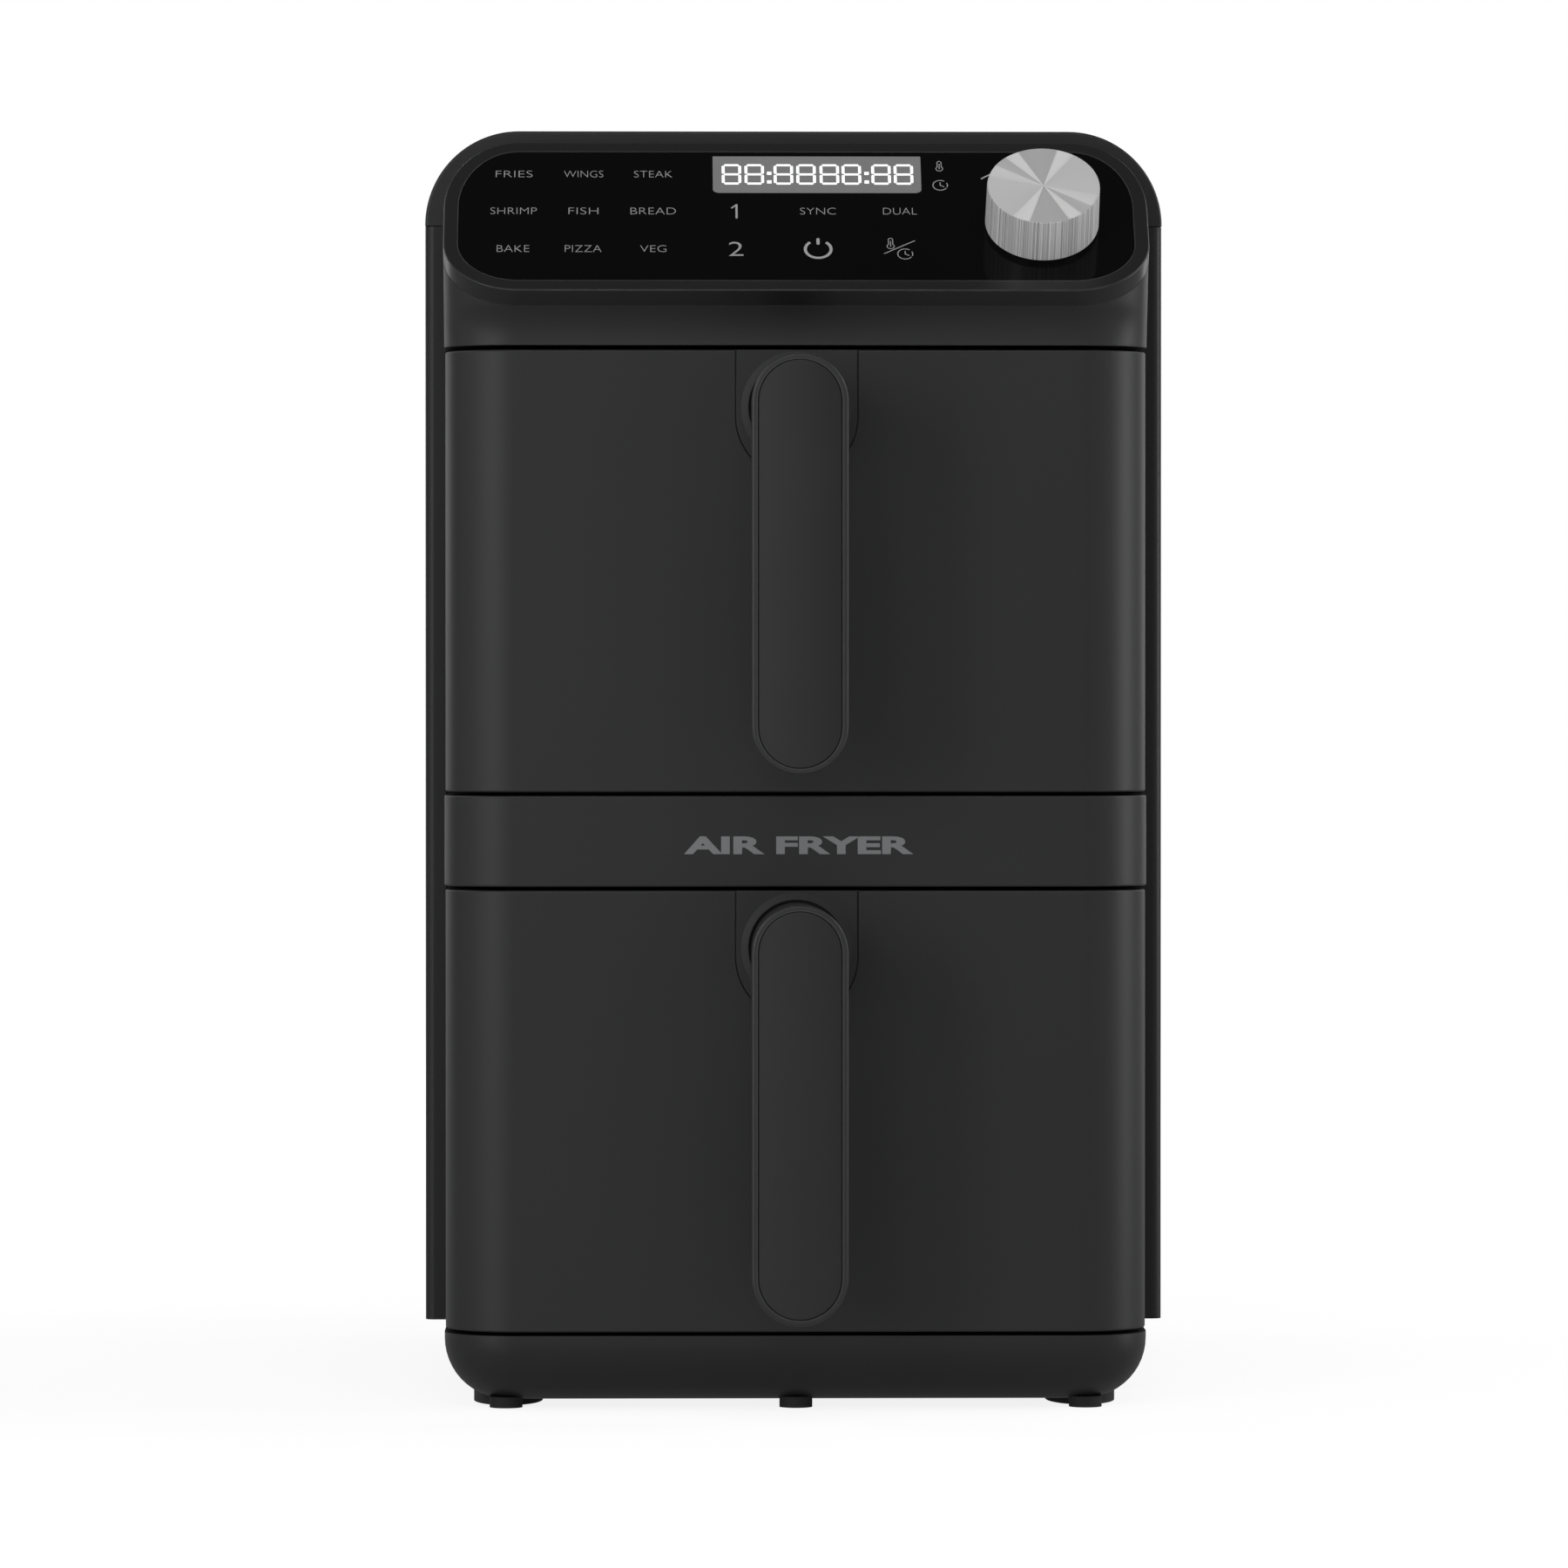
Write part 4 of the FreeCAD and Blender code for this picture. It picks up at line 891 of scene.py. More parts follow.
# --- Drawers -----------------------------------------------------------------------------
@dataclass
class Drawer:
    """One drawer: its front, handle plate, handle and inlay, placed by its lower edge."""

    side: str
    level: float
    height: float = 138.8 * MM
    half_width: float = 110.65 * MM
    face: float = -127.0 * MM
    rear: float = -76.4 * MM
    wall: float = 2.6 * MM
    corner: float = 22.0 * MM
    edge: float = 0.7 * MM
    plate_half: float = 19.0 * MM
    plate_straight: float = 21.0 * MM
    plate_groove: float = 0.5 * MM
    plate_edge: float = 0.25 * MM
    plate_play: float = 0.02 * MM
    dish_radius: float = 17.5 * MM
    dish_depth: float = 1.0 * MM
    ring_width: float = 1.9 * MM
    ring_rise: float = 0.35 * MM
    ring_top: float = 0.4 * MM
    dish_wall: tuple[float, float] = (0.8 * MM, 0.15 * MM)
    dish_floor: float = 1.1 * MM
    dish_flare: float = 0.5 * MM
    ring_foot: float = 0.01 * MM
    grip_width: float = 29.8 * MM
    grip_front: float = -183.0 * MM
    grip_back: float = -168.0 * MM
    grip_gaps: tuple[float, float] = (6.1 * MM, 3.2 * MM)
    grip_round: float = 5.0 * MM
    grip_edge: float = 0.8 * MM
    rim_width: float = 1.75 * MM
    inlay_gap: float = 0.24 * MM
    inlay_depth: float = 1.2 * MM
    inlay_edge: float = 0.3 * MM
    inlay_sunk: float = 0.1 * MM
    inlay_crown: float = 0.75 * MM
    inlay_strips: int = 24
    stem_radius: float = 12.5 * MM
    stem_bite: float = 2.0 * MM

    @property
    def top(self) -> float:
        """Return the height of the drawer's upper edge."""
        return self.level + self.height

    @property
    def grip_span(self) -> Span:
        """Return the lowest and highest points of the grip."""
        return self.level + self.grip_gaps[0], self.top - self.grip_gaps[1]

    @property
    def stem_height(self) -> float:
        """Return the height of the stem, on the centre of the grip's upper end."""
        return self.grip_span[1] - self.grip_width / 2

    def hanging_plate(self, half: float, depth: Span, top: float) -> Form:
        """Model a plate that hangs from the upper edge and ends in a half circle.

        Args:
            half: half of its width.
            depth: its front and back.
            top: its upper edge.

        Returns:
            A closed form.
        """
        low = self.top - self.plate_straight - half
        form = Form().block((-half, half), depth, (low, top))
        lower = form.edges_along(Axis.Y, lambda c: c.z < low + NEAR)
        form.bevel(lower, half - HAIR, 36)
        bmesh.ops.remove_doubles(form.mesh, verts=form.mesh.verts, dist=NEAR)
        return form.outward()

    def shell(self) -> Form:
        """Model the hollow front with its rounded uprights and the pocket of the plate.

        Returns:
            A closed form.
        """
        pocket = self.hanging_plate(
            self.plate_half + self.plate_groove, (self.face - MM, self.face + self.wall / 2),
            self.top + MM,
        )
        return hollow_front(
            self.half_width, (self.face, self.rear), (self.level, self.top), self.corner,
            self.wall, self.edge, pocket,
        )

    def plate(self) -> Form:
        """Model the inset plate with its round dish and the low ring round the dish.

        Returns:
            A closed form.
        """
        back = self.face + self.wall / 2 - self.plate_play
        form = self.hanging_plate(self.plate_half, (self.face, back), self.top)
        form.bevel(form.rim(Axis.Y, self.face), self.plate_edge, 3)
        reach, depth, rise = self.dish_radius, self.dish_depth, self.ring_rise
        inner = reach - self.ring_width - self.ring_top
        slope, fillet = self.dish_wall
        ring = self.turned((
            (0.0, depth / 2), (reach, depth / 2), (reach, -self.ring_foot),
            (reach - self.ring_width, -rise), (0.0, -rise),
        ))
        dish = self.turned((
            (0.0, -MM), (inner + self.dish_flare, -MM), (inner, -rise),
            (inner - slope, depth - fillet), (inner - self.dish_floor, depth), (0.0, depth),
        ))
        return form.combine("UNION", ring).combine("DIFFERENCE", dish)

    def turned(self, profile: Sequence[tuple[float, float]]) -> Form:
        """Model a round form about the stem's axis.

        Args:
            profile: radius and depth behind the drawer's face of each point.

        Returns:
            A closed form.
        """
        points = [Vector((radius, self.face + depth, 0.0)) for radius, depth in profile]
        form = Form().spin(points, Axis.Y, 96)
        return form.place(Matrix.Translation((0.0, 0.0, self.stem_height)))

    def grip(self) -> Form:
        """Model the grip with its rounded back, its rim and the recess of the inlay.

        Returns:
            A closed form.
        """
        low, high = self.grip_span
        form = stadium(self.grip_width, low, high, (self.grip_front, self.grip_back))
        form.bevel(form.rim(Axis.Y, self.grip_back), self.grip_round, 8)
        form.bevel(form.rim(Axis.Y, self.grip_front), self.grip_edge, 4)
        centre = self.stem_height
        stem = Form().rod(
            self.stem_radius, (0.0, self.grip_back - self.stem_bite, centre),
            (0.0, self.face + self.dish_depth, centre),
        )
        inset = self.rim_width
        recess = stadium(
            self.grip_width - 2 * inset, low + inset, high - inset,
            (self.grip_front - MM, self.grip_front + self.inlay_depth),
        )
        return form.combine("UNION", stem).combine("DIFFERENCE", recess)

    def inlay(self) -> Form:
        """Model the slightly crowned strip let into the grip.

        Returns:
            A closed form.
        """
        low, high = self.grip_span
        inset = self.rim_width + self.inlay_gap
        width = self.grip_width - 2 * inset
        face = self.grip_front + self.inlay_sunk
        form = stadium(
            width, low + inset, high - inset, (face, self.grip_front + self.inlay_depth)
        )
        form.bevel(form.rim(Axis.Y, face), self.inlay_edge, 3)
        for step in range(1, self.inlay_strips):
            x = width * (step / self.inlay_strips - 0.5)
            bmesh.ops.bisect_plane(
                form.mesh, geom=[*form.mesh.verts, *form.mesh.edges, *form.mesh.faces],
                plane_co=(x, 0, 0), plane_no=(1, 0, 0),
            )
        for vert in form.mesh.verts:
            if vert.co.y < face + self.inlay_edge + NEAR:
                vert.co.y += self.inlay_crown * (vert.co.x / (width / 2)) ** 2
        return form

    def build(self, paint: "Paints") -> None:
        """Make the drawer's pieces.

        Args:
            paint: the finishes.
        """
        body, name = f"{self.side}_drawer", self.side
        self.shell().piece(
            f"{name}_front_shell", body, "front_plastic", paint.front, [f"{name}_drawer_front"]
        )
        self.plate().piece(
            f"{name}_handle_backplate", body, "front_plastic", paint.plate,
            [f"{name}_handle_plate"],
        )
        self.grip().piece(
            f"{name}_handle_grip", body, "front_plastic", paint.grip, [f"{name}_handle"]
        )
        self.inlay().piece(
            f"{name}_grip_inlay", body, "handle_satin", paint.inlay, [f"{name}_handle_inlay"]
        )


@dataclass
class Waist:
    """The fixed band between the drawers, with its printed name of the appliance's kind."""

    half_width: float = 111.0 * MM
    face: float = -127.0 * MM
    rear: float = -73.2 * MM
    span: Span = (164.6 * MM, 193.2 * MM)
    wall: float = 2.5 * MM
    corner: float = 22.0 * MM
    edge: float = 0.6 * MM
    print_middle: float = 177.7 * MM
    print_height: float = 5.6 * MM
    print_width: float = 72.0 * MM
    print_relief: float = 0.05 * MM
    print_bold: float = 0.22 * MM
    print_shift: float = 0.6 * MM

    def band(self) -> Form:
        """Model the band, a box open at the back.

        Returns:
            A closed form.
        """
        return hollow_front(
            self.half_width, (self.face, self.rear), self.span, self.corner, self.wall, self.edge
        )

    def build(self, paint: "Paints") -> None:
        """Make the band and its print.

        Args:
            paint: the finishes.
        """
        self.band().piece("waist_shell", "housing", "front_plastic", paint.front, ["waist_band"])
        words = letters("AIR FRYER", self.print_height, self.print_relief, bold=self.print_bold)
        words.fit_width(self.print_width)
        upright = Matrix.Rotation(math.radians(90.0), 4, "X")
        middle = Matrix.Translation((self.print_shift, self.face, self.print_middle))
        words.place(middle @ upright)
        words.piece("waist_print", "housing", "front_plastic", paint.waist_print)


# --- Control head ------------------------------------------------------------------------
@dataclass(frozen=True)
class Slope:
    """The panel's plane: drawn flat with Y up the slope and Z out of it, then laid in place."""

    edge: tuple[float, float, float] = (0.0, -136.0 * MM, 351.3 * MM)
    tilt: float = math.radians(45.0)

    @property
    def matrix(self) -> Matrix:
        """Return the move from the flat drawing to the slope."""
        return Matrix.Translation(self.edge) @ Matrix.Rotation(self.tilt, 4, "X")

    def at(self, x: float, up: float, out: float = 0.0) -> Matrix:
        """Return the move to a spot on the panel, given in the flat drawing."""
        return self.matrix @ Matrix.Translation((x, up, out))


SLOPE = Slope()


class Letters(Form):
    """Raised flat lettering, drawn about its own middle in the XY plane."""

    def fit_width(self, width: float) -> None:
        """Stretch the lettering sideways to a width.

        Args:
            width: the width it gets.
        """
        xs = [vert.co.x for vert in self.mesh.verts]
        factor = width / (max(xs) - min(xs))
        bmesh.ops.scale(self.mesh, vec=(factor, 1.0, 1.0), verts=self.mesh.verts)


def letters(words: str, height: float, relief: float, bold: float = 0.0) -> Letters:
    """Draw plain lettering as a mesh.

    Args:
        words: what it says.
        height: height of its capitals.
        relief: thickness.
        bold: how much the strokes are widened.

    Returns:
        The lettering, centred on the origin.
    """
    curve = bpy.data.curves.new("words", "FONT")
    curve.body = words
    curve.align_x = "CENTER"
    curve.offset = bold / height
    curve.resolution_u = 4
    text = bpy.data.objects.new("words", curve)
    bpy.context.scene.collection.objects.link(text)
    bpy.context.view_layer.update()
    data = bpy.data.meshes.new_from_object(text)
    bpy.data.objects.remove(text)
    made = Letters()
    made.mesh.from_mesh(data)
    bpy.data.meshes.remove(data)
    verts = made.mesh.verts
    low = Vector(min(v.co[i] for v in verts) for i in range(3))
    high = Vector(max(v.co[i] for v in verts) for i in range(3))
    bmesh.ops.translate(made.mesh, vec=-(low + high) / 2, verts=verts)
    size = height / (high.y - low.y)
    bmesh.ops.scale(made.mesh, vec=(size, size, size), verts=verts)
    bmesh.ops.remove_doubles(made.mesh, verts=verts, dist=MERGE)
    made.raise_up(relief)
    return made


@dataclass
class Head:
    """Flared housing, frame and glass of the sloping control panel."""

    half_width: float = 111.0 * MM
    length: float = 69.7 * MM
    thick: float = 6.7 * MM
    lower_corner: tuple[float, float] = (24.0 * MM, 22.0 * MM)
    upper_corner: tuple[float, float] = (23.5 * MM, 31.0 * MM)
    rim: float = 4.6 * MM
    rim_edge: float = 0.45 * MM
    back_edge: float = 0.3 * MM
    ledge: float = 1.2 * MM
    glass_thick: float = 2.0 * MM
    glass_gap: float = 0.15 * MM
    glass_sunk: float = 0.2 * MM
    glass_edge: float = 0.25 * MM
    film_corners: tuple[float, float] = (2.2 * MM, 1.6 * MM)
    film_upper: tuple[float, float] = (0.25 * MM, 0.25 * MM)
    film_relief: float = 0.02 * MM
    neck_bottom: float = 334.4 * MM
    neck_front: float = -127.0 * MM
    neck_rear: float = -73.2 * MM
    neck_corner: float = 22.0 * MM
    neck_rear_corner: float = 8.0 * MM
    flare_power: float = 2.6
    dial_spot: tuple[float, float] = (77.4 * MM, 30.2 * MM)
    shaft_hole: float = 4.2 * MM
    display_middle: tuple[float, float] = (6.9 * MM, 54.5 * MM)
    display_size: tuple[float, float] = (66.0 * MM, 17.4 * MM)

    def layer(self, inset: float, bottom: float, top: float, segments: int = 24) -> Form:
        """Model a flat slice of the panel, drawn flat.

        Args:
            inset: how far it is set in from the rim.
            bottom: its lower face.
            top: its upper face.
            segments: pieces in each corner.

        Returns:
            A closed form.
        """
        mesh = flat_outline(
            (inset - self.half_width, self.half_width - inset), (inset, self.length - inset),
            (self.lower_corner[0] - inset, self.lower_corner[1] - inset),
            (self.upper_corner[0] - inset, self.upper_corner[1] - inset), segments,
        )
        bmesh.ops.translate(mesh, vec=(0.0, 0.0, bottom), verts=mesh.verts)
        return Form(mesh).raise_up(top - bottom)

    def frame(self) -> Form:
        """Model the frame round the glass, with softened edges.

        Returns:
            A closed form on the slope.
        """
        form = self.layer(0.0, -self.thick, 0.0)
        form.bevel(form.rim(Axis.Z, 0.0), self.rim_edge, 3)
        form.bevel(form.rim(Axis.Z, -self.thick), self.back_edge, 2)
        seat = self.layer(self.rim, -self.glass_thick, MM)
        through = self.layer(self.rim + self.ledge, -self.thick - MM, 0.0)
        return form.combine("DIFFERENCE", seat, through).place(SLOPE.matrix)

    def glass(self) -> Form:
        """Model the glass, with a fine polished edge and the hole for the dial's shaft.

        Returns:
            A closed form on the slope.
        """
        top = -self.glass_sunk
        form = self.layer(self.rim + self.glass_gap, -self.glass_thick, top)
        form.bevel(form.rim(Axis.Z, top), self.glass_edge, 2)
        x, up = self.dial_spot
        hole = Form().rod(self.shaft_hole, (x, up, -4 * MM), (x, up, MM), 48)
        return form.combine("DIFFERENCE", hole).place(SLOPE.matrix)

    def window(self) -> Form:
        """Model the pale field of the display, a film on the glass.

        Returns:
            A closed form on the slope.
        """
        (x, up), (width, height) = self.display_middle, self.display_size
        mesh = flat_outline(
            (x - width / 2, x + width / 2), (up - height / 2, up + height / 2),
            self.film_corners, self.film_upper, 6,
        )
        under = (0.0, 0.0, -self.glass_sunk - self.film_relief)
        bmesh.ops.translate(mesh, vec=under, verts=mesh.verts)
        return Form(mesh).raise_up(2 * self.film_relief).place(SLOPE.matrix)

    def neck(self) -> Form:
        """Model the housing that flares out from the upper drawer to the panel.

        Returns:
            A closed form.
        """
        segments = 24
        upper = flat_outline(
            (-self.half_width, self.half_width), (0.0, self.length),
            self.lower_corner, self.upper_corner, segments,
        )
        bmesh.ops.translate(upper, vec=(0.0, 0.0, -self.thick), verts=upper.verts)
        bmesh.ops.transform(upper, matrix=SLOPE.matrix, verts=upper.verts)
        rear = self.neck_rear_corner
        lower = flat_outline(
            (-self.half_width, self.half_width), (self.neck_front, self.neck_rear),
            (self.neck_corner, self.neck_corner), (rear, rear), segments,
        )
        bmesh.ops.translate(lower, vec=(0.0, 0.0, self.neck_bottom), verts=lower.verts)
        form = Form(lower).add(Form(upper))
        rings = [edge for edge in form.mesh.edges if edge.is_boundary]
        bmesh.ops.bridge_loops(form.mesh, edges=rings)
        form.outward()
        across = [
            edge for edge in form.mesh.edges
            if min(vert.co.z for vert in edge.verts) < self.neck_bottom + HAIR
            < max(vert.co.z for vert in edge.verts)
        ]
        bmesh.ops.subdivide_edges(form.mesh, edges=across, cuts=9, use_grid_fill=True)
        self.hollow_curve(form)
        form.bevel(form.rim(Axis.Z, self.neck_bottom), self.back_edge, 2)
        return form

    def hollow_curve(self, form: Form) -> None:
        """Pull the front of the neck inwards between its ends, so that it flares as a curve.

        Args:
            form: the neck, ruled straight from its lower to its upper outline.
        """
        overhang = self.neck_front - (SLOPE.edge[1] + self.thick * math.sqrt(0.5))
        rise = SLOPE.edge[2] - self.thick * math.sqrt(0.5) - self.neck_bottom
        for vert in form.mesh.verts:
            share = (vert.co.z - self.neck_bottom) / rise
            if 0.0 < share < 1.0 and vert.co.y < self.neck_front + self.neck_corner:
                ruled = overhang * share
                curved = overhang * share ** self.flare_power
                blend = (self.neck_front + self.neck_corner - vert.co.y) / self.neck_corner
                vert.co.y += (ruled - curved) * min(1.0, blend)

    def build(self, paint: "Paints") -> None:
        """Make the head's pieces.

        Args:
            paint: the finishes.
        """
        self.neck().piece("head_neck", "housing", "front_plastic", paint.front, ["head_housing"])
        self.frame().piece(
            "panel_frame", "housing", "front_plastic", paint.frame, ["control_bezel"]
        )
        self.glass().piece("panel_glass", "housing", "control_glass", paint.glass, ["touch_panel"])
        self.window().piece("display_film", "housing", "control_glass", paint.film)


@dataclass(frozen=True)
class Mark:
    """One printed word or figure on the panel: what it says, its middle, width and height."""

    words: str
    x: float
    up: float
    width: float
    height: float


@dataclass
class PanelPrint:
    """The printed labels and signs on the glass and the lit figures of the display."""

    surface: float = -0.2 * MM
    relief: float = 0.03 * MM
    label_height: float = 3.1 * MM
    bold: float = -0.065 * MM
    figure_height: float = 6.6 * MM
    digit_middle: float = 54.6 * MM
    digit_size: tuple[float, float] = (6.2 * MM, 9.7 * MM)
    stroke: float = 0.95 * MM
    digit_edges: tuple[float, ...] = (-23.26, -16.04, -6.80, 0.39, 7.77, 14.77, 24.17, 31.28)
    colons: tuple[float, ...] = (-8.19, 22.70)
    digit_gap: float = 0.78
    colon_dot: float = 1.45 * MM
    colon_shift: float = -0.75 * MM
    colon_lifts: tuple[float, float] = (0.5 * MM, -3.6 * MM)

    def marks(self) -> list[Mark]:
        """List the printed words and figures.

        Returns:
            The marks, in metres on the flat drawing of the panel.
        """
        columns = (-89.0, -67.0, -45.0)
        rows = (
            (54.7, (("FRIES", 11.6), ("WINGS", 12.4), ("STEAK", 12.1))),
            (37.2, (("SHRIMP", 14.6), ("FISH", 9.4), ("BREAD", 14.3))),
            (19.5, (("BAKE", 10.2), ("PIZZA", 11.5), ("VEG", 8.2))),
        )
        found = [
            Mark(words, x * MM, up * MM, width * MM, self.label_height)
            for up, labels in rows
            for x, (words, width) in zip(columns, labels)
        ]
        found.append(Mark("2", -19.0 * MM, 19.4 * MM, 4.6 * MM, self.figure_height))
        found.append(Mark("SYNC", 7.0 * MM, 37.2 * MM, 11.3 * MM, self.label_height))
        found.append(Mark("DUAL", 32.9 * MM, 37.2 * MM, 10.7 * MM, self.label_height))
        return found

    def bar(self, start: Vector, end: Vector, width: float) -> Form:
        """Model a straight stroke with round ends, drawn flat.

        Args:
            start: centre of one end, in millimetres.
            end: centre of the other end, in millimetres.
            width: across the stroke, in millimetres.

        Returns:
            A closed form.
        """
        first, last = Vector((*start, 0.0)) * MM, Vector((*end, 0.0)) * MM
        run = last - first
        half = width * MM / 2
        mesh = flat_outline(
            (-half, run.length + half), (-half, half),
            (half * 0.98, half * 0.98), (half * 0.98, half * 0.98), 4,
        )
        turn = Matrix.Rotation(math.atan2(run.y, run.x), 4, "Z")
        return Form(mesh).raise_up(self.relief).place(Matrix.Translation(first) @ turn)

    def arc(self, middle: Vector, radius: float, span: Span, width: float) -> Form:
        """Model a stroke along part of a circle, drawn flat.

        Args:
            middle: centre of the circle, in millimetres.
            radius: its radius, in millimetres.
            span: first and last angle, in degrees.
            width: across the stroke, in millimetres.

        Returns:
            A closed form.
        """
        form = Form()
        inner, outer = (radius - width / 2) * MM, (radius + width / 2) * MM
        ends = [form.mesh.verts.new((reach, 0.0, 0.0)) for reach in (inner, outer)]
        edge = form.mesh.edges.new(ends)
        full = span[1] - span[0]
        bmesh.ops.spin(
            form.mesh, geom=[*ends, edge], cent=(0, 0, 0), axis=(0, 0, 1),
            angle=math.radians(full), steps=max(6, int(full / 7.5)), use_merge=False,
        )
        form.raise_up(self.relief)
        turn = Matrix.Rotation(math.radians(span[0]), 4, "Z")
        return form.place(Matrix.Translation(Vector((*middle, 0.0)) * MM) @ turn)

    def figure_one(self) -> Form:
        """Model the figure 1, an upright stroke with a short flag.

        Returns:
            A form of two closed strokes.
        """
        x, up, reach = -18.7, 37.1, 3.1
        return self.bar((x, up - reach), (x, up + reach), 0.65).add(
            self.bar((x - 1.5, up + reach - 1.5), (x, up + reach), 0.52)
        )

    def power_sign(self) -> Form:
        """Model the power sign: a broken ring with an upright stroke in its gap.

        Returns:
            A form of two closed strokes.
        """
        x, up = 6.8, 19.3
        return self.arc((x, up), 4.05, (-232.0, 52.0), 0.95).add(
            self.bar((x, up + 2.6), (x, up + 4.7), 1.0)
        )

    def thermometer(self, x: float, up: float, size: float, stroke: float) -> Form:
        """Model a small outlined thermometer.

        Args:
            x: its middle, in millimetres.
            up: its middle, in millimetres.
            size: its height, in millimetres.
            stroke: width of its lines, in millimetres.

        Returns:
            A form of several closed strokes.
        """
        neck, bulb = size * 0.14, size * 0.23
        bottom, top = up - size * 0.27, up + size * 0.36
        form = self.arc((x, bottom), bulb, (128.0, 412.0), stroke)
        form.add(self.arc((x, top), neck, (0.0, 180.0), stroke))
        for side in (-neck, neck):
            form.add(self.bar((x + side, bottom + bulb * 0.8), (x + side, top), stroke))
        return form.add(self.bar((x, bottom - bulb * 0.1), (x, top - neck), stroke))

    def clock(self, x: float, up: float, radius: float, stroke: float) -> Form:
        """Model a small clock with two hands and a gap in its ring.

        Args:
            x: its middle, in millimetres.
            up: its middle, in millimetres.
            radius: radius of its ring, in millimetres.
            stroke: width of its lines, in millimetres.

        Returns:
            A form of several closed strokes.
        """
        form = self.arc((x, up), radius, (55.0, 325.0), stroke)
        form.add(self.arc((x, up), radius, (-22.0, 28.0), stroke))
        form.add(self.bar((x, up), (x, up + radius * 0.55), stroke))
        return form.add(self.bar((x, up), (x + radius * 0.5, up - radius * 0.3), stroke))

    def choice_sign(self) -> Form:
        """Model the sign that switches between warmth and time, with a slanting stroke.

        Returns:
            A form of several closed strokes.
        """
        form = self.thermometer(29.6, 22.0, 4.9, 0.24)
        form.add(self.bar((27.6, 17.3), (37.2, 23.3), 0.3))
        return form.add(self.clock(34.1, 17.1, 2.35, 0.27))

    def digit(self, left: float, segments: Iterable[str]) -> Form:
        """Model one seven-segment figure.

        Args:
            left: its left edge, in metres.
            segments: names of the lit strokes, from "a" at the top clockwise, "g" the middle.

        Returns:
            A form of several closed strokes.
        """
        width, height = (side / MM for side in self.digit_size)
        stroke = self.stroke / MM
        low = self.digit_middle / MM - height / 2
        inset = stroke / 2
        x0, x1 = left / MM + inset, left / MM + width - inset
        z0, z1, z2 = low + inset, low + height / 2, low + height - inset
        gap = stroke * self.digit_gap
        spans = {
            "a": ((x0 + gap, z2), (x1 - gap, z2)), "d": ((x0 + gap, z0), (x1 - gap, z0)),
            "g": ((x0 + gap, z1), (x1 - gap, z1)), "b": ((x1, z1 + gap), (x1, z2 - gap)),
            "c": ((x1, z0 + gap), (x1, z1 - gap)), "e": ((x0, z0 + gap), (x0, z1 - gap)),
            "f": ((x0, z1 + gap), (x0, z2 - gap)),
        }
        form = Form()
        for name in segments:
            form.add(self.bar(*spans[name], stroke))
        return form

    def display(self) -> Form:
        """Model all the lit figures and their colons.

        Returns:
            A form of several closed strokes, drawn flat.
        """
        form = Form()
        for left in self.digit_edges:
            form.add(self.digit(left * MM, "abcdefg"))
        dot = self.colon_dot
        for x in self.colons:
            for lift in self.colon_lifts:
                up = self.digit_middle + lift
                middle = x * MM + dot / 2 + self.colon_shift
                form.add(Form().block(
                    (middle - dot / 2, middle + dot / 2), (up - dot / 2, up + dot / 2),
                    (0.0, self.relief),
                ))
        return form

    def build(self, paint: "Paints") -> None:
        """Make the prints and the lit figures.

        Args:
            paint: the finishes.
        """
        words = Form()
        for mark in self.marks():
            drawn = letters(mark.words, mark.height, self.relief, bold=self.bold)
            drawn.fit_width(mark.width)
            words.add(drawn.place(Matrix.Translation((mark.x, mark.up, 0.0))))
        signs = self.power_sign().add(self.choice_sign()).add(self.figure_one())
        signs.add(self.thermometer(45.8, 58.6, 4.6, 0.24)).add(self.clock(45.9, 49.5, 2.3, 0.27))
        signs.add(self.arc((77.4, 30.2), 29.0, (122.5, 129.5), 0.5))
        for form, name, finish, lift in (
            (words, "panel_words", paint.panel_print, 0.0),
            (signs, "panel_signs", paint.panel_sign, 0.0),
            (self.display(), "display_figures", paint.lit, self.relief),
        ):
            form.place(SLOPE.at(0.0, 0.0, self.surface + lift)).piece(
                name, "housing", "control_glass", finish, smooth=False
            )


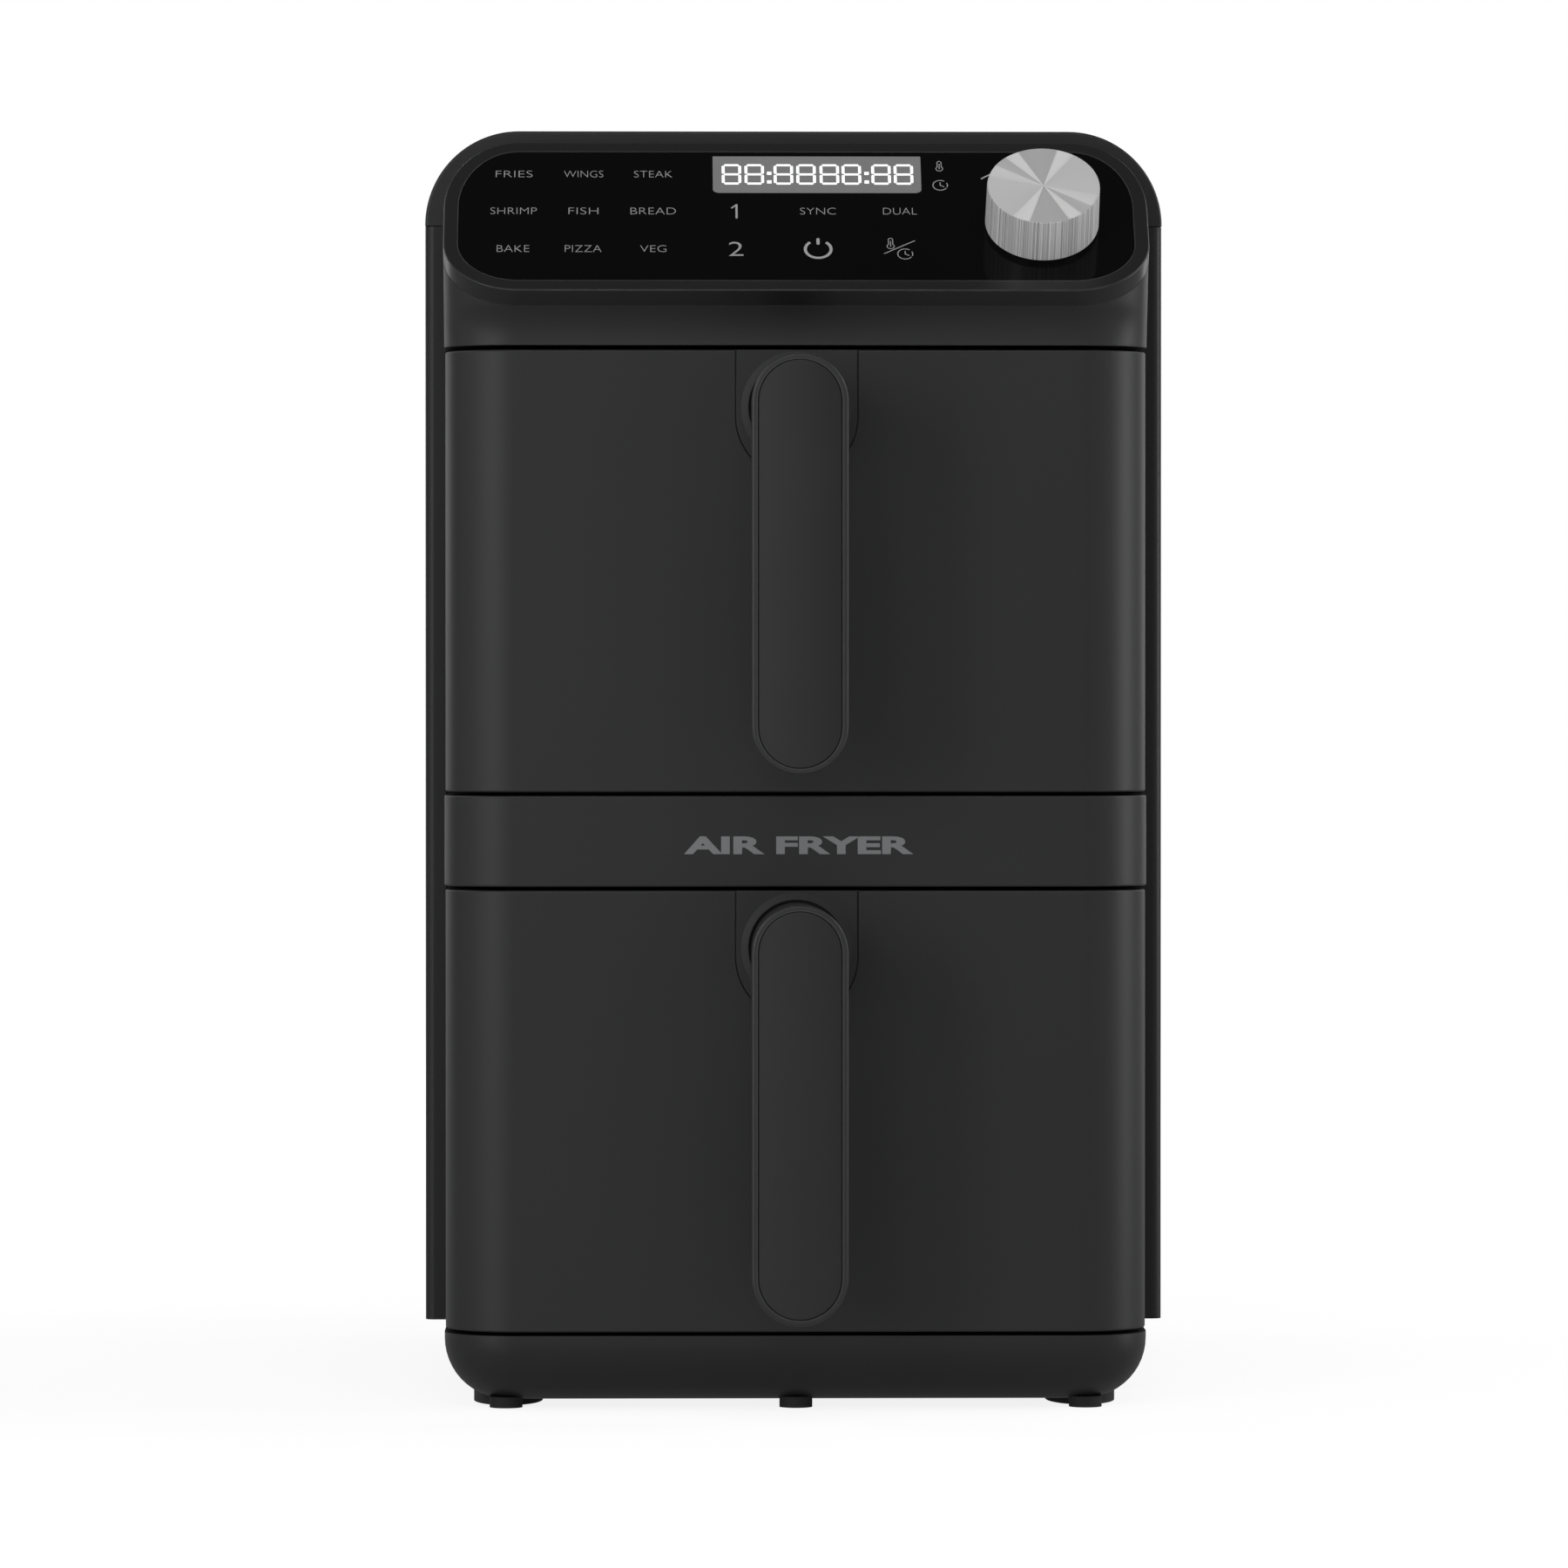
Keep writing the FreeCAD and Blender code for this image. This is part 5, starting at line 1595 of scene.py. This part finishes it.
@dataclass
class Dial:
    """The turned dial: a fluted side, a fine bright edge and a hollow underside."""

    spot: tuple[float, float] = (77.4 * MM, 30.2 * MM)
    radius: float = 17.9 * MM
    top_radius: float = 17.7 * MM
    gap: float = 1.3 * MM
    top: float = 16.9 * MM
    edge: float = 0.35 * MM
    flutes: int = 170
    flute_depth: float = 0.07 * MM
    bore: float = 3.05 * MM
    bore_end: float = 12.1 * MM
    hub: float = 6.5 * MM
    wall: float = 3.0 * MM
    roof: float = 4.0 * MM
    foot_edge: float = 0.2 * MM

    def body(self) -> Form:
        """Model the dial on its own axis and lay it on the slope.

        Returns:
            A closed form.
        """
        cup, roof = self.radius - self.wall, self.gap + self.roof
        profile = (
            (0.0, self.bore_end), (self.bore, self.bore_end), (self.bore, self.gap),
            (self.hub, self.gap), (self.hub, roof), (cup, roof), (cup, self.gap),
            (self.radius - self.foot_edge, self.gap),
            (self.radius, self.gap + self.foot_edge), (self.top_radius, self.top - self.edge),
            (self.top_radius - self.edge * 0.3, self.top - self.edge * 0.3),
            (self.top_radius - self.edge, self.top), (0.0, self.top),
        )
        steps = 2 * self.flutes
        form = Form().spin([Vector((r, 0.0, z)) for r, z in profile], Axis.Z, steps)
        for vert in form.mesh.verts:
            reach = math.hypot(vert.co.x, vert.co.y)
            column = round(math.atan2(vert.co.y, vert.co.x) / (2 * math.pi) * steps)
            if reach > self.top_radius - HAIR and column % 2:
                factor = 1.0 - self.flute_depth / reach
                vert.co.x *= factor
                vert.co.y *= factor
        return form.place(SLOPE.at(*self.spot))

    def build(self, paint: "Paints") -> None:
        """Make the dial.

        Args:
            paint: the finishes.
        """
        self.body().piece("dial_knob_turned", "dial_knob", "dial_aluminium", paint.dial, ["dial"])


# --- Shell -------------------------------------------------------------------------------
def arch(half: float, span: Span, radius: float, depth: Span) -> Form:
    """Model a block whose two upper long edges are rounded.

    Args:
        half: half of its width.
        span: its bottom and top.
        radius: radius of the two edges.
        depth: its front and back.

    Returns:
        A closed form.
    """
    form = Form().block((-half, half), depth, span)
    form.bevel(form.edges_along(Axis.Y, lambda c: c.z > span[1] - NEAR), radius, 26)
    return form.outward()


@dataclass
class Lid:
    """The curved top cover, with softened front and rear rims."""

    half_width: float = 117.8 * MM
    top: float = 404.9 * MM
    bottom: float = 374.7 * MM
    front: float = -75.0 * MM
    rear: float = 176.0 * MM
    frame_front: float = -73.2 * MM
    radius: float = 30.0 * MM
    skin: float = 2.2 * MM
    lip: float = 6.8 * MM
    edge: float = 0.9 * MM

    def shell(self) -> Form:
        """Model the lid with its turned-down lips.

        Returns:
            A closed form.
        """
        half, radius = self.half_width, self.radius
        form = arch(half, (self.bottom, self.top), radius, (self.front, self.rear))
        for place, edge in ((self.front, self.edge), (self.rear, self.edge / 3)):
            outline = [
                item for item in form.rim(Axis.Y, place)
                if max(vert.co.z for vert in item.verts) > self.bottom + NEAR
            ]
            form.bevel(outline, edge, 4)
        skin, lip = self.skin, self.lip
        low = self.bottom - MM
        hollow = arch(
            half - skin, (low, self.top - skin), radius - skin, (self.frame_front, self.rear - skin)
        )
        window = arch(
            half - lip, (low, self.top - lip), radius - lip, (self.front - MM, self.rear + MM)
        )
        return form.combine("DIFFERENCE", hollow, window)

    def build(self, paint: "Paints") -> None:
        """Make the lid.

        Args:
            paint: the finishes.
        """
        self.shell().piece("lid_shell", "housing", "cover_plastic", paint.cover, ["top_cover"])


# --- Finishes of this object --------------------------------------------------------------
BLACK = (0.0265, 0.0268, 0.0275)
STEEL = (0.56, 0.56, 0.55)


class Paints:
    """Every finish of the appliance, built once."""

    def __init__(self) -> None:
        """Build the materials."""
        self.front = Finish(
            "moulded_black", BLACK, 0.46, relief=0.015 * MM, mark_scale=2600.0, clouding=0.06,
            edge_wear_and_highlight_amount=0.35, edge_wear_and_highlight_colour=(0.06, 0.06, 0.062),
        ).build()
        self.plate = Finish(
            "plate_black", lighten(BLACK, 0.98), 0.44, relief=0.015 * MM, mark_scale=2600.0,
            clouding=0.05,
        ).build()
        # Painted highlight: the grip's lighter edge colour.
        self.grip = Finish(
            "grip_black", lighten(BLACK, 1.3), 0.34, relief=0.012 * MM, mark_scale=2600.0,
            clouding=0.06, edge_wear_and_highlight_amount=0.7, edge_wear_and_highlight_colour=(0.13, 0.13, 0.132),
        ).build()
        self.inlay = Finish(
            "inlay_satin", (0.054, 0.054, 0.0555), 0.36, metallic=0.65, lay=Lay.ALONG_Z,
            mark_scale=3200.0, relief=0.012 * MM, clouding=0.08,
        ).build()
        # Painted highlight: the frame's lighter edge colour, bright lines along its rims.
        self.frame = Finish(
            "frame_black", lighten(BLACK, 0.62), 0.3, relief=0.01 * MM, mark_scale=2600.0,
            clouding=0.06, edge_wear_and_highlight_amount=0.8, edge_wear_and_highlight_colour=(0.14, 0.14, 0.14),
        ).build()
        self.cover = Finish(
            "cover_black", lighten(BLACK, 0.85), 0.42, relief=0.02 * MM, mark_scale=1800.0,
            clouding=0.08, edge_wear_and_highlight_amount=0.3, edge_wear_and_highlight_colour=(0.06, 0.06, 0.06),
        ).build()
        self.base = Finish(
            "base_black", lighten(BLACK, 0.9), 0.4, relief=0.02 * MM, mark_scale=1800.0,
            clouding=0.08,
        ).build()
        self.side = Finish(
            "side_coat", lighten(BLACK, 0.7), 0.4, relief=0.03 * MM, mark_scale=900.0,
            relief_strength=0.5, clouding=0.07, specular=0.4,
        ).build()
        self.glass = Finish(
            "panel_glass_black", (0.0035, 0.0035, 0.0037), 0.07, relief=0.002 * MM,
            mark_scale=60.0, relief_strength=0.1, clouding=0.2, gloss_swing=0.05, specular=0.1,
        ).build()
        # Painted glow: the display film and the printed words and signs give off light of their own
        # colour; the figures' glow is the display's own light.
        self.film = LitFinish("display_film_grey", (0.12, 0.12, 0.12), 0.95).build()
        self.lit = LitFinish("figure_white", (0.85, 0.86, 0.86), 0.9).build()
        self.panel_print = LitFinish("print_grey", (0.32, 0.32, 0.32), 0.35).build()
        self.panel_sign = LitFinish("sign_grey", (0.36, 0.36, 0.36), 0.35).build()
        self.waist_print = LitFinish("waist_print_grey", (0.24, 0.245, 0.25), 0.14).build()
        centre = SLOPE.at(*Dial().spot).translation
        self.dial = TurnedFinish("turned_aluminium", (0.95, 0.95, 0.95), centre, SLOPE.tilt).build()
        self.cavity = Finish(
            "aluminised_steel", STEEL, 0.38, metallic=0.95, lay=Lay.ALONG_X, mark_scale=900.0,
            relief=0.02 * MM, clouding=0.12, gloss_swing=0.2, cloud_scale=30.0,
        ).build()
        self.element = Finish(
            "element_sheath_grey", (0.14, 0.13, 0.12), 0.5, metallic=0.8, clouding=0.3,
            cloud_scale=60.0, relief=0.03 * MM,
        ).build()
        self.motor = Finish(
            "zinc_plate", (0.48, 0.48, 0.47), 0.34, metallic=0.95, lay=Lay.ALONG_Y,
            clouding=0.15, cloud_scale=50.0,
        ).build()
        self.pan = Finish(
            "nonstick_coat", (0.045, 0.045, 0.047), 0.36, relief=0.03 * MM, mark_scale=700.0,
            relief_strength=0.5, clouding=0.2, cloud_scale=45.0, gloss_swing=0.15, coat=0.1,
            edge_wear_and_highlight_amount=0.5, edge_wear_and_highlight_colour=(0.2, 0.2, 0.2),
        ).build()
        self.crisper = Finish(
            "crisper_coat", (0.062, 0.062, 0.064), 0.34, relief=0.03 * MM, mark_scale=800.0,
            relief_strength=0.5, clouding=0.2, cloud_scale=60.0, gloss_swing=0.15, coat=0.15,
            edge_wear_and_highlight_amount=0.7, edge_wear_and_highlight_colour=(0.26, 0.26, 0.26),
        ).build()
        self.fan = Finish(
            "fan_sheet", (0.7, 0.7, 0.7), 0.3, metallic=1.0, lay=Lay.ALONG_X, clouding=0.1,
        ).build()
        self.shaft = Finish(
            "ground_shaft", (0.62, 0.62, 0.61), 0.22, metallic=1.0, lay=Lay.ALONG_Y,
            mark_scale=3000.0, clouding=0.06,
        ).build()
        self.screw = Finish(
            "black_zinc", (0.1, 0.1, 0.105), 0.35, metallic=0.9, clouding=0.2, cloud_scale=200.0,
        ).build()
        self.rubber = Finish(
            "foot_rubber", (0.02, 0.02, 0.02), 0.75, relief=0.05 * MM, mark_scale=1500.0,
            relief_strength=0.6, clouding=0.2, cloud_scale=80.0,
        ).build()
        self.silicone = Finish(
            "gasket_silicone", (0.045, 0.045, 0.047), 0.6, relief=0.03 * MM, clouding=0.15,
            cloud_scale=60.0,
        ).build()
        self.board = Finish(
            "board_green", (0.02, 0.09, 0.04), 0.35, relief=0.02 * MM, mark_scale=800.0,
            clouding=0.35, cloud_scale=140.0, coat=0.4,
        ).build()
        self.nylon = Finish(
            "switch_nylon", (0.05, 0.05, 0.052), 0.5, clouding=0.1, cloud_scale=90.0,
        ).build()

    def node_finishes(self) -> dict[str, bpy.types.Material]:
        """List the finish of each CAD node that is shown as it is.

        Returns:
            Materials by node name.
        """
        plain = {
            "base_tray": self.base, "front_feet": self.rubber, "base_pads": self.rubber,
            "base_screws": self.screw, "left_side_panel": self.side,
            "right_side_panel": self.side, "rear_cover": self.cover,
            "rear_cover_screws": self.screw, "cord_gland": self.nylon,
            "front_frame": self.side, "display_module": self.nylon,
            "control_board": self.board, "power_board": self.board,
            "encoder_body": self.nylon, "dial_stem": self.shaft,
            "temperature_sensors": self.element, "drawer_switches": self.nylon,
        }
        twofold = {
            "cavity": self.cavity, "heater": self.element, "fan_guard": self.cavity,
            "fan_motor": self.motor, "runners": self.cavity, "seal": self.silicone,
            "drawer_liner": self.front, "pan": self.pan, "handle_screws": self.screw,
            "crisper_plate": self.crisper, "plate_bumpers": self.silicone,
            "impeller": self.fan, "motor_shaft": self.shaft, "cooling_fan": self.fan,
        }
        for side in SIDES:
            plain.update({f"{side}_{name}": paint for name, paint in twofold.items()})
        return plain


# --- Studio ------------------------------------------------------------------------------
@dataclass(frozen=True)
class Lamp:
    """A soft rectangular light aimed at a spot on the appliance."""

    name: str
    place: tuple[float, float, float]
    aim: tuple[float, float, float]
    size: tuple[float, float]
    power: float

    def build(self) -> None:
        """Hang the light."""
        data = bpy.data.lights.new(self.name, "AREA")
        data.shape = "RECTANGLE"
        data.size, data.size_y = self.size
        data.energy = self.power
        lamp = bpy.data.objects.new(self.name, data)
        bpy.context.scene.collection.objects.link(lamp)
        lamp.location = self.place
        run = Vector(self.aim) - Vector(self.place)
        lamp.rotation_euler = run.to_track_quat("-Z", "Y").to_euler()


@dataclass
class Studio:
    """White surroundings, a pale floor, soft lights and the camera."""

    ambient: float = 0.13
    floor_glow: float = 0.135
    floor_near: float = 0.86
    floor_fade: Span = (0.25, 1.3)
    lens: float = 190.3
    camera_place: tuple[float, float, float] = (-0.0494, -2.7266, 0.2294)
    heading: float = math.radians(1.0)
    dip: float = math.radians(0.716)
    lamps: tuple[Lamp, ...] = (
        Lamp("left_rear_strip", (-1.2, -0.15, 0.35), (0.0, 0.0, 0.2), (0.3, 1.5), 0.5),
        Lamp("left_strip", (-1.3, -0.9, 0.4), (0.0, -0.1, 0.2), (0.3, 1.5), 2.3),
        Lamp("left_front_box", (-1.3, -1.9, 0.6), (0.0, -0.1, 0.2), (0.5, 1.2), 7.3),
        Lamp("right_strip", (1.2, -0.15, 0.35), (0.0, 0.0, 0.2), (0.3, 1.5), 6.3),
        Lamp("right_front_box", (1.3, -1.9, 0.6), (0.0, -0.1, 0.2), (0.5, 1.2), 1.0),
        Lamp("upper_front_box", (0.0, -1.6, 1.7), (0.0, 0.0, 0.2), (1.4, 0.6), 5.5),
        Lamp("front_box", (-0.5, -3.4, 0.9), (0.0, 0.0, 0.2), (1.6, 1.0), 4.1),
        Lamp("low_front_strip", (0.0, -1.4, 0.05), (0.0, 0.0, 0.15), (1.6, 0.1), 0.28),
        Lamp("back_left_box", (-1.4, 1.9, 0.6), (0.0, 0.1, 0.2), (0.6, 1.1), 3.5),
        Lamp("back_right_box", (1.4, 1.9, 0.6), (0.0, 0.1, 0.2), (0.6, 1.1), 3.5),
        Lamp("rear_box", (0.0, 2.4, 0.9), (0.0, 0.1, 0.2), (1.6, 1.0), 7.0),
        Lamp("upper_left_box", (-1.6, 0.4, 1.5), (0.0, 0.05, 0.3), (1.0, 1.0), 4.0),
        Lamp("upper_right_box", (1.6, 0.4, 1.5), (0.0, 0.05, 0.3), (1.0, 1.0), 4.0),
    )

    def surroundings(self) -> None:
        """Make the world: white to the camera, dimmer as a source of light."""
        world = bpy.data.worlds.new("white_room")
        world.use_nodes = True
        bpy.context.scene.world = world
        graph = Graph(world.node_tree)
        source = world.node_tree.nodes["Background"]
        source.inputs["Color"].default_value = (1.0, 1.0, 1.0, 1.0)
        seen = graph.node("ShaderNodeLightPath").outputs["Is Camera Ray"]
        strength = graph.maths("MULTIPLY_ADD", seen, 1.0 - self.ambient, self.ambient)
        graph.join(strength, source.inputs["Strength"])

    def floor(self) -> None:
        """Make the pale floor, which fades into the white surroundings away from the object."""
        form = Form()
        bmesh.ops.create_grid(form.mesh, x_segments=1, y_segments=1, size=6.0)
        made = form.as_object("floor")
        material, graph, shader = new_material("pale_floor")
        marks = graph.node("ShaderNodeGroup", node_tree=SURFACE_MARKS)
        marks.inputs["Cloud Scale"].default_value = 2.0
        tone = graph.blend(marks.outputs["Cloud"], (0.28, 0.28, 0.28), (0.3, 0.3, 0.3))
        graph.join(tone, shader.inputs["Base Color"])
        far = graph.node("ShaderNodeVectorMath", operation="LENGTH")
        graph.join(graph.node("ShaderNodeTexCoord").outputs["Object"], far.inputs[0])
        fade = graph.node("ShaderNodeMapRange", interpolation_type="SMOOTHSTEP")
        fade.inputs["From Min"].default_value = self.floor_fade[0]
        fade.inputs["From Max"].default_value = self.floor_fade[1]
        fade.inputs["To Min"].default_value = self.floor_near
        graph.join(far.outputs["Value"], fade.inputs["Value"])
        seen = graph.node("ShaderNodeLightPath").outputs["Is Camera Ray"]
        gain = graph.maths("SUBTRACT", fade.outputs["Result"], self.floor_glow)
        strength = graph.maths("MULTIPLY_ADD", seen, gain, self.floor_glow)
        graph.join(strength, shader.inputs["Emission Strength"])
        shader.inputs["Emission Color"].default_value = (1.0, 1.0, 1.0, 1.0)
        shader.inputs["Roughness"].default_value = 0.8
        shader.inputs["Specular IOR Level"].default_value = 0.0
        made.data.materials.append(material)

    def camera(self) -> None:
        """Set up the camera."""
        data = bpy.data.cameras.new("camera")
        data.lens = self.lens
        data.sensor_width = 36.0
        made = bpy.data.objects.new("camera", data)
        bpy.context.scene.collection.objects.link(made)
        made.location = self.camera_place
        made.rotation_euler = (math.radians(90.0) - self.dip, 0.0, -self.heading)
        bpy.context.scene.camera = made

    def build(self) -> None:
        """Set the whole studio up."""
        bpy.context.scene.view_settings.view_transform = "Standard"
        self.surroundings()
        self.floor()
        for lamp in self.lamps:
            lamp.build()
        self.camera()


def main() -> None:
    """Build every sub-assembly, dress the CAD nodes and set up the studio."""
    logging.basicConfig(level=logging.INFO, format="%(name)s %(message)s")
    paint = Paints()
    for side, level in zip(SIDES, DRAWER_LEVELS):
        Drawer(side, level).build(paint)
    Waist().build(paint)
    Head().build(paint)
    PanelPrint().build(paint)
    Dial().build(paint)
    Lid().build(paint)
    for name, material in paint.node_finishes().items():
        dress_node(name, material)
    Studio().build()


if __name__ == "__main__":
    main()
